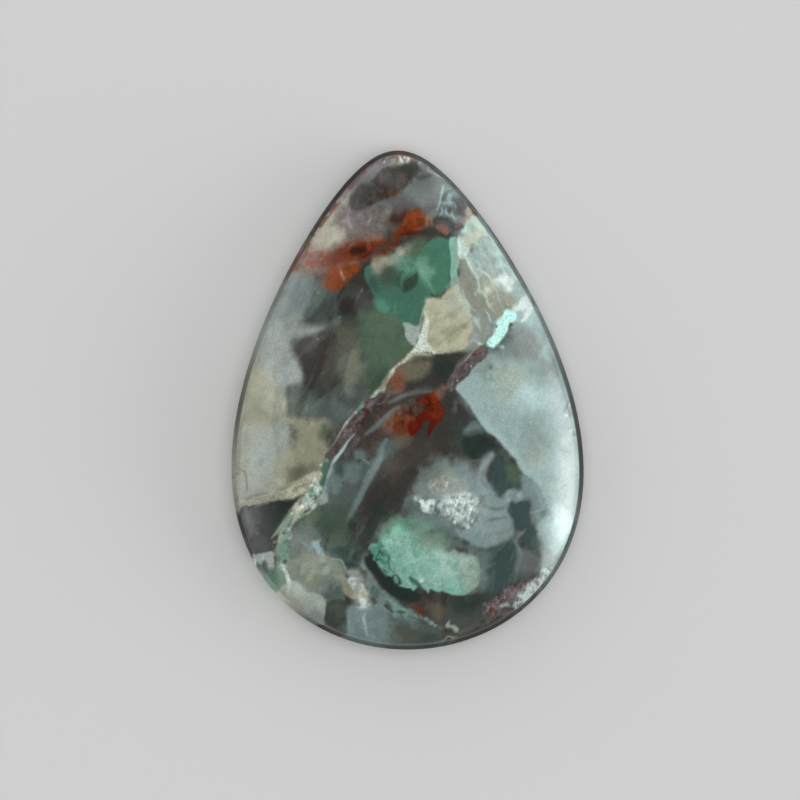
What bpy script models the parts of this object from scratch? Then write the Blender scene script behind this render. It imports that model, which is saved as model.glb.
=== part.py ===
"""A teardrop cabochon of chrysocolla in chalcedony, lying on its flat back.

Metres, +Z up. The origin is the middle of the flat back, and the tip points along +Y.
"""

import math

import bmesh
import bpy
from mathutils import Vector

MM = 0.001

# Driving sizes of the polished stone
LENGTH = 40.0 * MM
WIDTH = 28.2 * MM
THICKNESS = 6.6 * MM
GIRDLE_TOP = 2.6 * MM  # height of the crease where the girdle meets the dome
GIRDLE_LEAN = 0.45 * MM  # how far the girdle leans in from its foot to the crease
BACK_BEVEL = 0.4 * MM  # the small chamfer round the back, which keeps that edge from chipping

# Shape of the teardrop: how strongly it narrows towards the tip, and how slim the tip itself is
TAPER = 0.356
TIP_SLIMNESS = 0.048

# Shape of the dome
CROWN_Y = -3.0 * MM  # the highest point lies below the middle, under the wide end
CROWN_ASPECT = 1.25  # length over width of the level lines close to the highest point
DOME_FALL = 2.6  # a higher number keeps the top flatter and the shoulder steeper
DOME_ROUNDING = 0.85  # below 1, the shoulder turns down more steeply just above the crease

# Inset from the outline, and height, from the edge of the flat back up to the crease
GIRDLE = [
    (BACK_BEVEL, 0.0),
    (0.0, BACK_BEVEL),
    (GIRDLE_LEAN / 2, (BACK_BEVEL + GIRDLE_TOP) / 2),
    (GIRDLE_LEAN, GIRDLE_TOP),
]
SEGMENTS = 96
DOME_RINGS = 22

STONE_COLOUR = (0.30, 0.34, 0.31, 1.0)
STONE_ROUGHNESS = 0.08
SHARP_ANGLE = math.radians(20)


def half_width_shape(angle):
    """Half the teardrop's width, before it is scaled to WIDTH. The angle is 0 at the tip."""
    along = math.cos(angle)
    return math.sin(angle) * (1 - TAPER * along - TIP_SLIMNESS * along**2)


WIDEST = max(half_width_shape(math.radians(degree)) for degree in range(181))


def outline(angle, inset=0.0):
    """A point of the teardrop, moved in from the outline at a right angle by inset."""

    def point(a):
        return Vector((WIDTH / 2 * half_width_shape(a) / WIDEST, LENGTH / 2 * math.cos(a)))

    step = 1e-3
    along = (point(angle + step) - point(angle - step)).normalized()
    inwards = Vector((along.y, -along.x))
    return point(angle) + inwards * inset


def dome_level(angle, share):
    """A point of the dome's level line at this share of the way from the highest point to the crease."""
    crown = Vector((0.0, CROWN_Y))
    to_crease = outline(angle, GIRDLE_LEAN) - crown
    half = WIDTH / 2 - GIRDLE_LEAN
    to_oval = Vector((half * math.sin(angle), half * CROWN_ASPECT * math.cos(angle)))
    return crown + share * to_oval.lerp(to_crease, share)


def dome_height(share):
    rise = THICKNESS - GIRDLE_TOP
    return GIRDLE_TOP + rise * (1 - share**DOME_FALL) ** DOME_ROUNDING


def ring_point(ring, angle):
    """A point of one ring of the stone. Ring 0 is the edge of the flat back."""
    if ring < len(GIRDLE):
        inset, height = GIRDLE[ring]
        return (*outline(angle, inset), height)
    dome_ring = ring - len(GIRDLE) + 1
    share = math.cos(dome_ring / (DOME_RINGS + 1) * math.pi / 2)
    return (*dome_level(angle, share), dome_height(share))


def make_stone(collection):
    """The stone is a sphere primitive whose rings are laid out as flat back, chamfer, girdle and dome."""
    rows = len(GIRDLE) + DOME_RINGS + 1
    bm = bmesh.new()
    bmesh.ops.create_uvsphere(bm, u_segments=SEGMENTS, v_segments=rows, radius=1.0)
    for vertex in bm.verts:
        row = round((math.asin(max(-1.0, min(1.0, vertex.co.z))) / math.pi + 0.5) * rows)
        if row == 0:
            vertex.co = (0.0, CROWN_Y, 0.0)
        elif row == rows:
            vertex.co = (0.0, CROWN_Y, THICKNESS)
        else:
            vertex.co = ring_point(row - 1, math.atan2(vertex.co.x, vertex.co.y))
    bmesh.ops.recalc_face_normals(bm, faces=bm.faces)
    mesh = bpy.data.meshes.new("cabochon")
    bm.to_mesh(mesh)
    bm.free()
    mesh.shade_smooth()
    mesh.set_sharp_from_angle(angle=SHARP_ANGLE)
    stone = bpy.data.objects.new("cabochon", mesh)
    collection.objects.link(stone)
    return stone


def stone_material():
    material = bpy.data.materials.new("chrysocolla_chalcedony")
    material.use_nodes = True
    shader = material.node_tree.nodes["Principled BSDF"]
    shader.inputs["Base Color"].default_value = STONE_COLOUR
    shader.inputs["Roughness"].default_value = STONE_ROUGHNESS
    shader.inputs["Metallic"].default_value = 0.0
    return material


def main():
    for old in list(bpy.data.objects):
        bpy.data.objects.remove(old)
    collection = bpy.data.collections.new("chrysocolla_cabochon")
    bpy.context.scene.collection.children.link(collection)
    stone = make_stone(collection)
    stone.data.materials.append(stone_material())


main()
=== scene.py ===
"""The looks of a polished teardrop cabochon of chrysocolla in chalcedony.

The stone is one closed mesh. Its markings are listed shapes, in millimetres of the stone seen
from above: patches, veins and specks of named minerals, laid over each other from the deep clouds up.
Every point of the surface looks up which minerals it lies in, and the shader adds the fine grain.
"""

import math

import bpy
import numpy as np
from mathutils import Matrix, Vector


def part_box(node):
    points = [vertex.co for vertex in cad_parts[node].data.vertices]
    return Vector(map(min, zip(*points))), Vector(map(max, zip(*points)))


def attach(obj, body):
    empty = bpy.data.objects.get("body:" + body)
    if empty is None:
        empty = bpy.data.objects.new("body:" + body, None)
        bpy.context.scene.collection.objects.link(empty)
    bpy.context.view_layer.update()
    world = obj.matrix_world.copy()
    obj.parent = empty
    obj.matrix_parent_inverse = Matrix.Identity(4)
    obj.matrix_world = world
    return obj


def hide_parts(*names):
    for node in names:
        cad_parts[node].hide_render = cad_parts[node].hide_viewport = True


MM = 0.001

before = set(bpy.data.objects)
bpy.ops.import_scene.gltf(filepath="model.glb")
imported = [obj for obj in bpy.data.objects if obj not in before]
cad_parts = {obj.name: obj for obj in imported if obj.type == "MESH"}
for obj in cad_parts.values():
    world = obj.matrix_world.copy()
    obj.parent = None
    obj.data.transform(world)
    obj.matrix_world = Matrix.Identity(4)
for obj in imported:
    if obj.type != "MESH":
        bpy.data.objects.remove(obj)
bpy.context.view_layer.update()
LOWEST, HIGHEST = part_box("cabochon")

# The stone's sizes in mm, from the frame, with the crease and the lean of its girdle. They are a hair
# smaller than the solid's, so that rounding leaves no point outside its box
HAIR = 1e-4
LENGTH = (HIGHEST.y - LOWEST.y) / MM - HAIR
WIDTH = (HIGHEST.x - LOWEST.x) / MM - HAIR
THICKNESS = (HIGHEST.z - LOWEST.z) / MM - HAIR
GIRDLE_TOP = 2.6
GIRDLE_LEAN = 0.45
BACK_BEVEL = 0.4

# The teardrop and the dome, by the same rules as the solid
TAPER = 0.356
TIP_SLIMNESS = 0.048
CROWN_Y = -3.0
CROWN_ASPECT = 1.25
DOME_FALL = 2.6
DOME_ROUNDING = 0.85

# The mesh: cells along one side of the square grids that are rounded into the dome and the back
DOME_CELLS = 280
BACK_CELLS = 70
DOME_EDGE_SHARE = 0.996

# How the layers of the rock slant as they go down, in mm sideways for each mm of depth
DIP = (0.30, 0.22)

# The finest line that the mesh can hold, in mm, and how far a soft edge billows, as a share of its width
FINEST = 0.20
BILLOW = 0.42
SEED = 41

# Painted light and shade along the girdle, mostly shade: degrees round the outline, from the tip towards
# +X, and the share of the colour kept there
GIRDLE_PAINTED_SHADING = [
    (-180, 0.63), (-165, 0.75), (-150, 0.82), (-135, 1.5), (-120, 0.7), (-105, 0.97), (-90, 0.55),
    (-75, 0.83), (-60, 0.82), (-45, 0.45), (-30, 0.15), (-15, 0.2), (0, 0.72), (15, 0.5), (30, 0.82),
    (45, 0.56), (60, 0.66), (75, 0.64), (90, 0.44), (105, 0.34), (120, 0.52), (135, 0.52), (150, 0.28),
    (165, 0.55), (180, 0.63)]

# Fine streaks in the clear stone run this way, in radians from +Y towards -X
STREAK_TURN = -0.45

# The soft light round the stone, and the lamp overhead that fills it, in watts. The window's azimuth is in
# degrees from +X towards +Y, and the stone's right side is darker by WINDOW_GAIN to allow for its light
CEILING_LIGHT = 0.08
WALL_LIGHT = 1.3
WINDOW_LIGHT = 4.0
FILL_LIGHT = 8.4
WINDOW_AZIMUTH = -12
WINDOW_GAIN = 0.08

POLISH_IOR = 1.54
FLOOR_SIZE = 4.0
FLOOR_COLOUR = (0.62, 0.62, 0.61, 1.0)
STUDIO_COLOUR = (0.97, 0.99, 1.0, 1.0)

# The camera hangs straight above. The frame's width is taken at the floor, the stone lies a little to the
# right of the middle, and its tip leans to the left by the roll, in radians
LENS = 300
FRAME_WIDTH = 64.16 * MM
ROLL = 0.0342
STONE_RIGHT_OF_MIDDLE = 0.425 * MM


def half_width_shape(angle):
    """Half the teardrop's width, before it is scaled to WIDTH. The angle is 0 at the tip."""
    along = np.cos(angle)
    return np.sin(angle) * (1 - TAPER * along - TIP_SLIMNESS * along**2)


WIDEST = half_width_shape(np.radians(np.arange(0, 180, 0.5))).max()


def outline(angle, inset):
    """Points of the teardrop, moved in from the outline at a right angle by inset."""

    def point(a):
        return np.stack([WIDTH / 2 * half_width_shape(a) / WIDEST, LENGTH / 2 * np.cos(a)], axis=-1)

    step = 1e-3
    along = point(angle + step) - point(angle - step)
    along /= np.linalg.norm(along, axis=-1, keepdims=True)
    inwards = np.stack([along[:, 1], -along[:, 0]], axis=-1)
    return point(angle) + inwards * inset


def level_points(angle, share):
    """Points on the dome, in plan, at this share of the way from the highest point to the crease."""
    crown = np.array([0.0, CROWN_Y])
    to_crease = outline(angle, GIRDLE_LEAN) - crown
    half = WIDTH / 2 - GIRDLE_LEAN
    to_oval = np.stack([half * np.sin(angle), half * CROWN_ASPECT * np.cos(angle)], axis=-1)
    share = share[:, None]
    return crown + share * (to_oval + share * (to_crease - to_oval))


def dome_height(share):
    """The height of the dome at a share of the way from its highest point to the crease."""
    return GIRDLE_TOP + (THICKNESS - GIRDLE_TOP) * (1 - share**DOME_FALL) ** DOME_ROUNDING


def round_grid(cells):
    """A square grid of points rounded into a disc, with even cells: distance from the middle and angle."""
    side = np.linspace(-1, 1, cells + 1)
    across, up = np.meshgrid(side, side)
    wide = np.abs(across) >= np.abs(up)
    radius = np.where(wide, across, up)
    divisor = np.where(radius == 0, 1, radius)
    turn = np.where(wide, np.pi / 4 * up / divisor, np.pi / 2 - np.pi / 4 * across / divisor)
    right = radius * np.cos(turn)
    forward = radius * np.sin(turn)
    return np.hypot(right, forward).ravel(), np.arctan2(right, forward).ravel()


def grid_faces(cells, start, upside_down=False):
    """The four-sided faces of a square grid whose points are numbered from start."""
    row = cells + 1
    first = start + (np.arange(cells)[:, None] * row + np.arange(cells)[None, :]).ravel()
    faces = np.stack([first, first + 1, first + row + 1, first + row], axis=-1)
    return faces[:, ::-1] if upside_down else faces


def grid_rim(cells, start):
    """The points round the edge of a square grid, in order."""
    row = cells + 1
    ahead = np.arange(cells)
    bottom = ahead
    right = cells + ahead * row
    top = cells * row + cells - ahead
    left = (cells - ahead) * row
    return start + np.concatenate([bottom, right, top, left])


def stone_mesh():
    """Points in mm, and faces, of the whole stone: dome, crease, girdle, chamfer and flat back."""
    radius, angle = round_grid(DOME_CELLS)
    share = np.minimum(radius, 1.0) * DOME_EDGE_SHARE
    points = [np.column_stack([level_points(angle, share), dome_height(share)])]
    faces = [grid_faces(DOME_CELLS, 0).tolist()]
    rim = grid_rim(DOME_CELLS, 0)
    rim_angle = angle[rim]
    count = len(points[0])

    # From the rounded crease down the leaning girdle and the rounded chamfer to the back
    slant = GIRDLE_LEAN / (GIRDLE_TOP - BACK_BEVEL)
    steps = [(GIRDLE_LEAN + 0.012, GIRDLE_TOP + 0.02), (GIRDLE_LEAN - 0.02, GIRDLE_TOP - 0.06)]
    for height in (2.3, 1.9, 1.5, 1.1, 0.7):
        steps.append(((height - BACK_BEVEL) * slant, height))
    steps += [(0.0, BACK_BEVEL + 0.03), (0.05, BACK_BEVEL - 0.06), (BACK_BEVEL - 0.05, 0.06)]
    for inset, height in steps:
        ring = count + np.arange(len(rim))
        points.append(np.column_stack([outline(rim_angle, inset), np.full(len(rim), height)]))
        faces.append(band_faces(rim, ring))
        rim = ring
        count += len(ring)

    radius, angle = round_grid(BACK_CELLS)
    flat = outline(angle, BACK_BEVEL)
    middle = np.array([0.0, CROWN_Y])
    flat = middle + (flat - middle) * np.minimum(radius, 1.0)[:, None]
    points.append(np.column_stack([flat, np.zeros(len(flat))]))
    faces.append(grid_faces(BACK_CELLS, count, upside_down=True).tolist())
    faces.append(fan_faces(rim, grid_rim(BACK_CELLS, count)))
    return np.concatenate(points), [face for group in faces for face in group]


def band_faces(upper, lower):
    """A ring of four-sided faces between two rings of the same number of points."""
    return np.stack([upper, lower, np.roll(lower, -1), np.roll(upper, -1)], axis=-1).tolist()


def fan_faces(fine, coarse):
    """A ring of triangles between a ring of points and one with a whole number of times fewer."""
    ratio = len(fine) // len(coarse)
    middle = ratio // 2
    faces = []
    for i, corner in enumerate(coarse):
        following = coarse[(i + 1) % len(coarse)]
        run = [fine[(i * ratio + k) % len(fine)] for k in range(ratio + 1)]
        for k in range(middle):
            faces.append([run[k], corner, run[k + 1]])
        faces.append([run[middle], corner, following])
        for k in range(middle, ratio):
            faces.append([run[k], following, run[k + 1]])
    return faces


def smooth_step(part):
    """Eases a share from 0 to 1 in and out."""
    return part * part * (3 - 2 * part)


def lattice_noise(places, scale, seed):
    """Smooth random numbers from -1 to 1 over places in mm, with scale lumps to the mm."""
    size = 48
    lattice = np.random.default_rng(SEED + seed).uniform(-1, 1, (size, size, size))
    cell = places * scale + 500.0
    corner = np.floor(cell).astype(int)
    part = smooth_step(cell - corner)
    total = np.zeros(len(places))
    for step in np.ndindex(2, 2, 2):
        index = (corner + step) % size
        weight = np.prod(np.where(np.array(step) == 1, part, 1 - part), axis=1)
        total += weight * lattice[index[:, 0], index[:, 1], index[:, 2]]
    return total


# What each kind of growth looks like close by: cloudy mottling, speckled grain, crackled fibres,
# sugary crystals and dull polish
DETAILS = ("mottle", "grain", "fibre", "sugar", "dull")
KINDS = {
    "clear": (0.25, 0.0, 0.0, 0.0, 0.0),
    "cloudy": (0.24, 0.0, 0.0, 0.0, 0.0),
    "earthy": (0.60, 0.35, 0.0, 0.0, 0.05),
    "grainy": (0.40, 1.00, 0.0, 0.0, 0.30),
    "fibrous": (0.30, 0.15, 1.0, 0.0, 0.20),
    "sugary": (0.20, 0.20, 0.0, 1.0, 0.10),
    "crisp": (0.15, 0.05, 0.0, 0.0, 0.0),
}

# Colours as the eye sees them, from 0 to 255, and the kind of growth
MINERALS = {
    "smoky": (54, 52, 48, "clear"),
    "smoke_brown": (66, 60, 55, "cloudy"),
    "black_green": (36, 47, 42, "clear"),
    "pocket": (43, 51, 44, "clear"),
    "deep_teal": (55, 74, 72, "clear"),
    "slate": (78, 88, 84, "cloudy"),
    "teal_grey": (66, 79, 72, "cloudy"),
    "ash": (92, 91, 91, "cloudy"),
    "bronze": (112, 101, 94, "earthy"),
    "mist": (114, 122, 118, "cloudy"),
    "blue_mist": (100, 117, 116, "cloudy"),
    "fog": (134, 142, 135, "cloudy"),
    "petal": (122, 143, 143, "cloudy"),
    "blue_fog": (136, 151, 149, "cloudy"),
    "tawny": (128, 135, 122, "cloudy"),
    "glow": (110, 115, 98, "cloudy"),
    "lattice": (141, 149, 133, "fibrous"),
    "milk": (158, 168, 161, "cloudy"),
    "milk_blue": (148, 170, 167, "cloudy"),
    "pale_blue": (168, 194, 192, "cloudy"),
    "bone": (206, 222, 218, "crisp"),
    "cream": (183, 188, 166, "crisp"),
    "butter": (168, 163, 145, "cloudy"),
    "sand": (171, 170, 146, "cloudy"),
    "tan": (143, 142, 118, "cloudy"),
    "umber": (100, 97, 80, "cloudy"),
    "bark": (70, 58, 52, "earthy"),
    "olive": (79, 98, 79, "clear"),
    "moss": (62, 78, 64, "clear"),
    "emerald": (65, 109, 90, "clear"),
    "leaf": (100, 138, 118, "clear"),
    "jade": (122, 170, 153, "clear"),
    "mint": (126, 171, 154, "cloudy"),
    "sea_green": (84, 140, 122, "cloudy"),
    "turquoise": (190, 240, 231, "grainy"),
    "ice": (188, 214, 206, "cloudy"),
    "rust": (108, 46, 18, "earthy"),
    "orange": (130, 63, 32, "earthy"),
    "brick": (126, 93, 79, "earthy"),
    "blood": (82, 18, 4, "earthy"),
    "ember": (103, 38, 9, "earthy"),
    "maroon": (56, 22, 12, "earthy"),
    "mauve": (84, 75, 75, "grainy"),
    "lavender": (125, 119, 123, "cloudy"),
    "plum": (62, 57, 55, "cloudy"),
    "fibre": (170, 168, 146, "fibrous"),
    "crackle": (181, 191, 177, "fibrous"),
    "sugar": (176, 188, 184, "sugary"),
    "lump": (160, 174, 168, "sugary"),
}


def smooth_curve(points, closed, steps=6):
    """More points along a smooth curve through these, by the Catmull-Rom rule. A width column follows."""
    points = np.asarray(points, float)
    if closed:
        before, after, following = np.roll(points, 1, 0), np.roll(points, -1, 0), np.roll(points, -2, 0)
    else:
        before = np.concatenate([points[:1], points[:-2]])
        after, following = points[1:], np.concatenate([points[2:], points[-1:]])
        points = points[:-1]
    t = np.arange(steps)[None, :, None] / steps
    p0, p1, p2, p3 = (side[:, None, :] for side in (before, points, after, following))
    curve = 0.5 * (2 * p1 + (p2 - p0) * t + (2 * p0 - 5 * p1 + 4 * p2 - p3) * t**2
                   + (3 * p1 - p0 - 3 * p2 + p3) * t**3)
    curve = curve.reshape(-1, curve.shape[-1])
    return curve if closed else np.concatenate([curve, after[-1:]])


class Rock:
    """Every point of the stone's surface, with the colour and the growth found there."""

    def __init__(self, places):
        # A point below the dome sees the rock that slants down to it from the level of the crease
        depth = np.clip(GIRDLE_TOP - places[:, 2], 0, None)
        bend = 0.35 * np.minimum(depth, 1.0)
        self.x = places[:, 0] + DIP[0] * depth + bend * lattice_noise(places, 0.5, 1)
        self.y = places[:, 1] + DIP[1] * depth + bend * lattice_noise(places, 0.5, 2)
        self.ragged = 0.6 * lattice_noise(places, 1.6, 3) + 0.4 * lattice_noise(places, 4.5, 4)
        scales = (0.5, 1.1, 2.3, 4.9)
        self.billow = sum(lattice_noise(places, scale, 10 + i) / 1.6**i for i, scale in enumerate(scales))
        self.x += 0.05 * lattice_noise(places, 1.2, 5)
        self.y += 0.05 * lattice_noise(places, 1.2, 6)
        self.depth = depth
        # Each call of growths takes the next seed
        self.calls = 100
        self.colour = np.zeros((len(places), 3))
        self.details = np.zeros((len(places), len(DETAILS)))

    def lay(self, mineral, index, cover):
        """Lays a mineral over these points, as thickly as cover says, from 0 to 1."""
        *colour, kind = MINERALS[mineral]
        cover = cover[:, None]
        self.colour[index] += cover * (np.array(colour) / 255 - self.colour[index])
        self.details[index] += cover * (np.array(KINDS[kind]) - self.details[index])

    def near(self, points, reach):
        """Which points of the surface lie within reach of the box round these."""
        low, high = points[:, :2].min(0) - reach, points[:, :2].max(0) + reach
        inside = (self.x > low[0]) & (self.x < high[0]) & (self.y > low[1]) & (self.y < high[1])
        return np.nonzero(inside)[0]

    def distances(self, index, curve, closed):
        """The distance to the nearest point of a curve, and the curve's third column there."""
        x, y = self.x[index], self.y[index]
        nearest = np.full(len(index), 1e9)
        value = np.zeros(len(index))
        inside = np.zeros(len(index), bool)
        ends = np.roll(curve, -1, 0) if closed else curve[1:]
        for start, end in zip(curve, ends):
            run = end[:2] - start[:2]
            length = max(run @ run, 1e-12)
            part = np.clip(((x - start[0]) * run[0] + (y - start[1]) * run[1]) / length, 0, 1)
            apart = np.hypot(x - start[0] - part * run[0], y - start[1] - part * run[1])
            closer = apart < nearest
            nearest = np.where(closer, apart, nearest)
            if closed:
                if (start[1] > y).any() or (end[1] > y).any():
                    crosses = (start[1] > y) != (end[1] > y)
                    slope = run[0] / (run[1] if run[1] else 1e-12)
                    inside ^= crosses & (x < start[0] + (y - start[1]) * slope)
            else:
                value = np.where(closer, start[2] + part * (end[2] - start[2]), value)
        return (np.where(inside, -nearest, nearest) if closed else nearest), value

    def patch(self, mineral, soft, points, strength=1.0, ragged=0.1, corners=False):
        """A closed shape. Its edge fades over soft mm, and wanders by up to ragged mm."""
        points = np.asarray(points, float)
        curve = points if corners else smooth_curve(points, closed=True)
        index = self.near(curve, soft / 2 + ragged + BILLOW * soft)
        apart, _ = self.distances(index, curve, closed=True)
        apart += ragged * self.ragged[index] + BILLOW * soft * self.billow[index]
        fade = np.clip(0.5 - apart / max(soft, 0.8 * FINEST), 0, 1)
        self.lay(mineral, index, strength * smooth_step(fade))

    def growths(self, mineral, soft, points, scale, share, strength=1.0, lean=0.0, stretch=1.0):
        """Lumps of a mineral inside a closed shape, over this share of it, with scale of them to the mm.

        They can be stretched along a direction that leans from +Y towards +X.
        """
        curve = smooth_curve(points, closed=True)
        index = self.near(curve, soft)
        apart, _ = self.distances(index, curve, closed=True)
        apart += BILLOW * soft * self.billow[index]
        fade = np.clip(0.5 - apart / max(soft, FINEST), 0, 1)
        x, y = self.x[index], self.y[index]
        along = (x * math.sin(lean) + y * math.cos(lean)) / stretch
        across = x * math.cos(lean) - y * math.sin(lean)
        self.calls += 1
        spots = np.column_stack([across, along, self.depth[index]])
        lumps = lattice_noise(spots, scale, self.calls)
        lumps += 0.5 * lattice_noise(spots, 2.3 * scale, self.calls)
        level = np.quantile(lumps[fade > 0.5], 1 - share)
        cover = np.clip(0.5 + (lumps - level) / 0.35, 0, 1)
        self.lay(mineral, index, strength * fade * smooth_step(cover))

    def vein(self, mineral, soft, points, strength=1.0, ragged=0.05):
        """A line through points of x, y and width."""
        curve = smooth_curve(points, closed=False)
        index = self.near(curve, soft + curve[:, 2].max() / 2 + ragged)
        apart, width = self.distances(index, curve, closed=False)
        # A line finer than the mesh is drawn wider and fainter
        strength = strength * np.clip(2 * width / FINEST, 0, 1)
        edge = apart - np.maximum(width, FINEST / 2) / 2 + ragged * self.ragged[index]
        fade = np.clip(0.5 - edge / max(soft, FINEST), 0, 1)
        self.lay(mineral, index, strength * smooth_step(fade))

    def specks(self, mineral, soft, points, strength=1.0, ragged=0.04):
        """Spots of x, y and radius."""
        for x, y, radius in points:
            index = self.near(np.array([[x, y]]), radius + soft + ragged)
            edge = np.hypot(self.x[index] - x, self.y[index] - y) - radius + ragged * self.ragged[index]
            fade = np.clip(0.5 - edge / max(soft, FINEST), 0, 1)
            self.lay(mineral, index, strength * smooth_step(fade))

    def veils(self, spots):
        """Milky and smoky clouds of x, y, radius and gain, which lighten or darken the rock over them; a
        lightening one can also be a painted highlight.
        """
        for x, y, radius, gain in spots:
            index = self.near(np.array([[x, y]]), 2.5 * radius)
            apart = np.hypot(self.x[index] - x, self.y[index] - y) / radius + 0.2 * self.billow[index]
            self.colour[index] *= 1 + gain * np.exp(-apart * np.abs(apart))[:, None]


def lay_deep_clouds(rock):
    """The broad zones that the stone's body is made of, with the softest edges."""
    everywhere = np.arange(len(rock.x))
    rock.lay("smoky", everywhere, np.ones(len(everywhere)))
    rock.patch("mist", 2.4, [(-8, 13), (-4, 18), (0, 21), (4, 19), (8, 14), (6, 12), (2, 14), (-3, 12.6)])
    rock.patch("butter", 1.6, [
        (-9, 10.6), (-7.8, 13.6), (-5.6, 17.4), (-3.9, 17.4), (-4.0, 15.6), (-4.2, 14.2), (-4.6, 12.6),
        (-6.4, 11.4)], 0.85)
    rock.patch("fog", 1.8, [(-12.4, 3), (-10.6, 8.6), (-9.4, 11.4), (-8.0, 10.6), (-7.6, 9), (-8.6, 6)])
    rock.patch("milk", 1.3, [
        (-15, -9), (-15, 0), (-13.6, 5), (-12, 8.2), (-10.4, 8.6), (-9.6, 6.6), (-9.2, 5.2), (-8.7, 4),
        (-8.3, 3), (-8.1, 2.3), (-8.7, 1.6), (-9.6, 0.8), (-9.3, -1.2), (-8.9, -3), (-9.3, -7)])
    rock.patch("sand", 1.4, [
        (-9.8, -0.6), (-8, -1), (-6.2, -0.8), (-5.6, -2), (-6.4, -4), (-6.9, -6), (-8.6, -7), (-11, -7.6),
        (-10.6, -5.4), (-9.2, -3)], 0.75)
    rock.patch("slate", 1.2, [
        (-9.4, 1.2), (-8.2, 1.4), (-6.6, 1), (-5, 1.6), (-3, 1.6), (-2, 0.9), (-3.6, -0.9), (-5, -2),
        (-6.6, -1.3), (-8.4, -1), (-9.6, -0.4)])
    rock.patch("teal_grey", 1.6, [
        (-8.2, 9.2), (-6.4, 9.8), (-4.8, 8.4), (-3.6, 6.6), (-4.6, 5.6), (-7, 6.4), (-8.3, 7)])
    rock.patch("olive", 1.6, [
        (-3.6, 7.4), (-1.8, 7.6), (0.4, 6.4), (1, 4.4), (-0.6, 2.6), (-2, 0.9), (-3.2, 1.4), (-3.6, 3.4)])
    rock.patch("glow", 1.2, [
        (-5.6, 5.8), (-4.4, 6.2), (-3.7, 5.6), (-3.5, 3.6), (-3.8, 1.8), (-5, 0.8), (-5.6, 2.6)])
    rock.patch("teal_grey", 2.0, [
        (-9, -8.8), (-6.6, -7), (-5, -8), (-5, -10.6), (-7, -11.2), (-9.6, -10.4)])
    rock.patch("tawny", 0.8, [
        (-10.2, -10.8), (-8.6, -10.4), (-7.2, -11.8), (-5.8, -12.4), (-5.2, -13.6), (-5.8, -16),
        (-7, -16.4), (-8.6, -16.2), (-10.6, -14.4)])
    rock.patch("deep_teal", 1.0, [
        (-7, -11.4), (-6, -11), (-4.4, -10.8), (-3.6, -12), (-3.6, -13.2), (-5, -13), (-6, -12.4)])
    rock.patch("black_green", 1.0, [
        (-5.8, -11.6), (-4.6, -11.2), (-3.8, -11.8), (-4, -12.6), (-5, -12.8)], 0.7)
    rock.patch("milk_blue", 1.6, [
        (4.6, 0.4), (6, 2.4), (8, 4), (10, 7), (13, 6), (15, 0), (15.4, -6), (14, -12), (11, -15),
        (10, -13.6), (10.2, -10), (9.6, -6.6), (7.6, -3.6), (5.6, -1.4)])
    rock.patch("pale_blue", 1.8, [
        (5.4, 14.6), (7.6, 14.4), (10.6, 9.6), (12, 6), (9.4, 6), (8, 7.6), (6, 9.4), (5, 11.6)])
    rock.patch("mist", 1.6, [
        (5, -4.6), (6.4, -4), (7, -7), (8, -8.4), (9.6, -7), (11, -8.8), (10.8, -10.4), (8.6, -11.8),
        (5.4, -12), (3, -10.8), (1, -9.4), (-0.6, -8.6), (0.4, -6.4), (2.2, -5)], 0.85)
    rock.patch("slate", 1.4, [
        (5.8, -12), (8, -11.6), (10.2, -12.4), (10.2, -14.2), (8, -15.4), (6, -16.8), (4, -18.6),
        (1.6, -19.4), (0.8, -17.6), (2.6, -15.8), (5, -15)], 0.6)
    rock.patch("blue_mist", 1.2, [
        (-5.6, -19.8), (-5.4, -17), (-4.4, -16), (-2, -16.2), (0.4, -17.4), (2, -19), (1, -21)])


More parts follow.
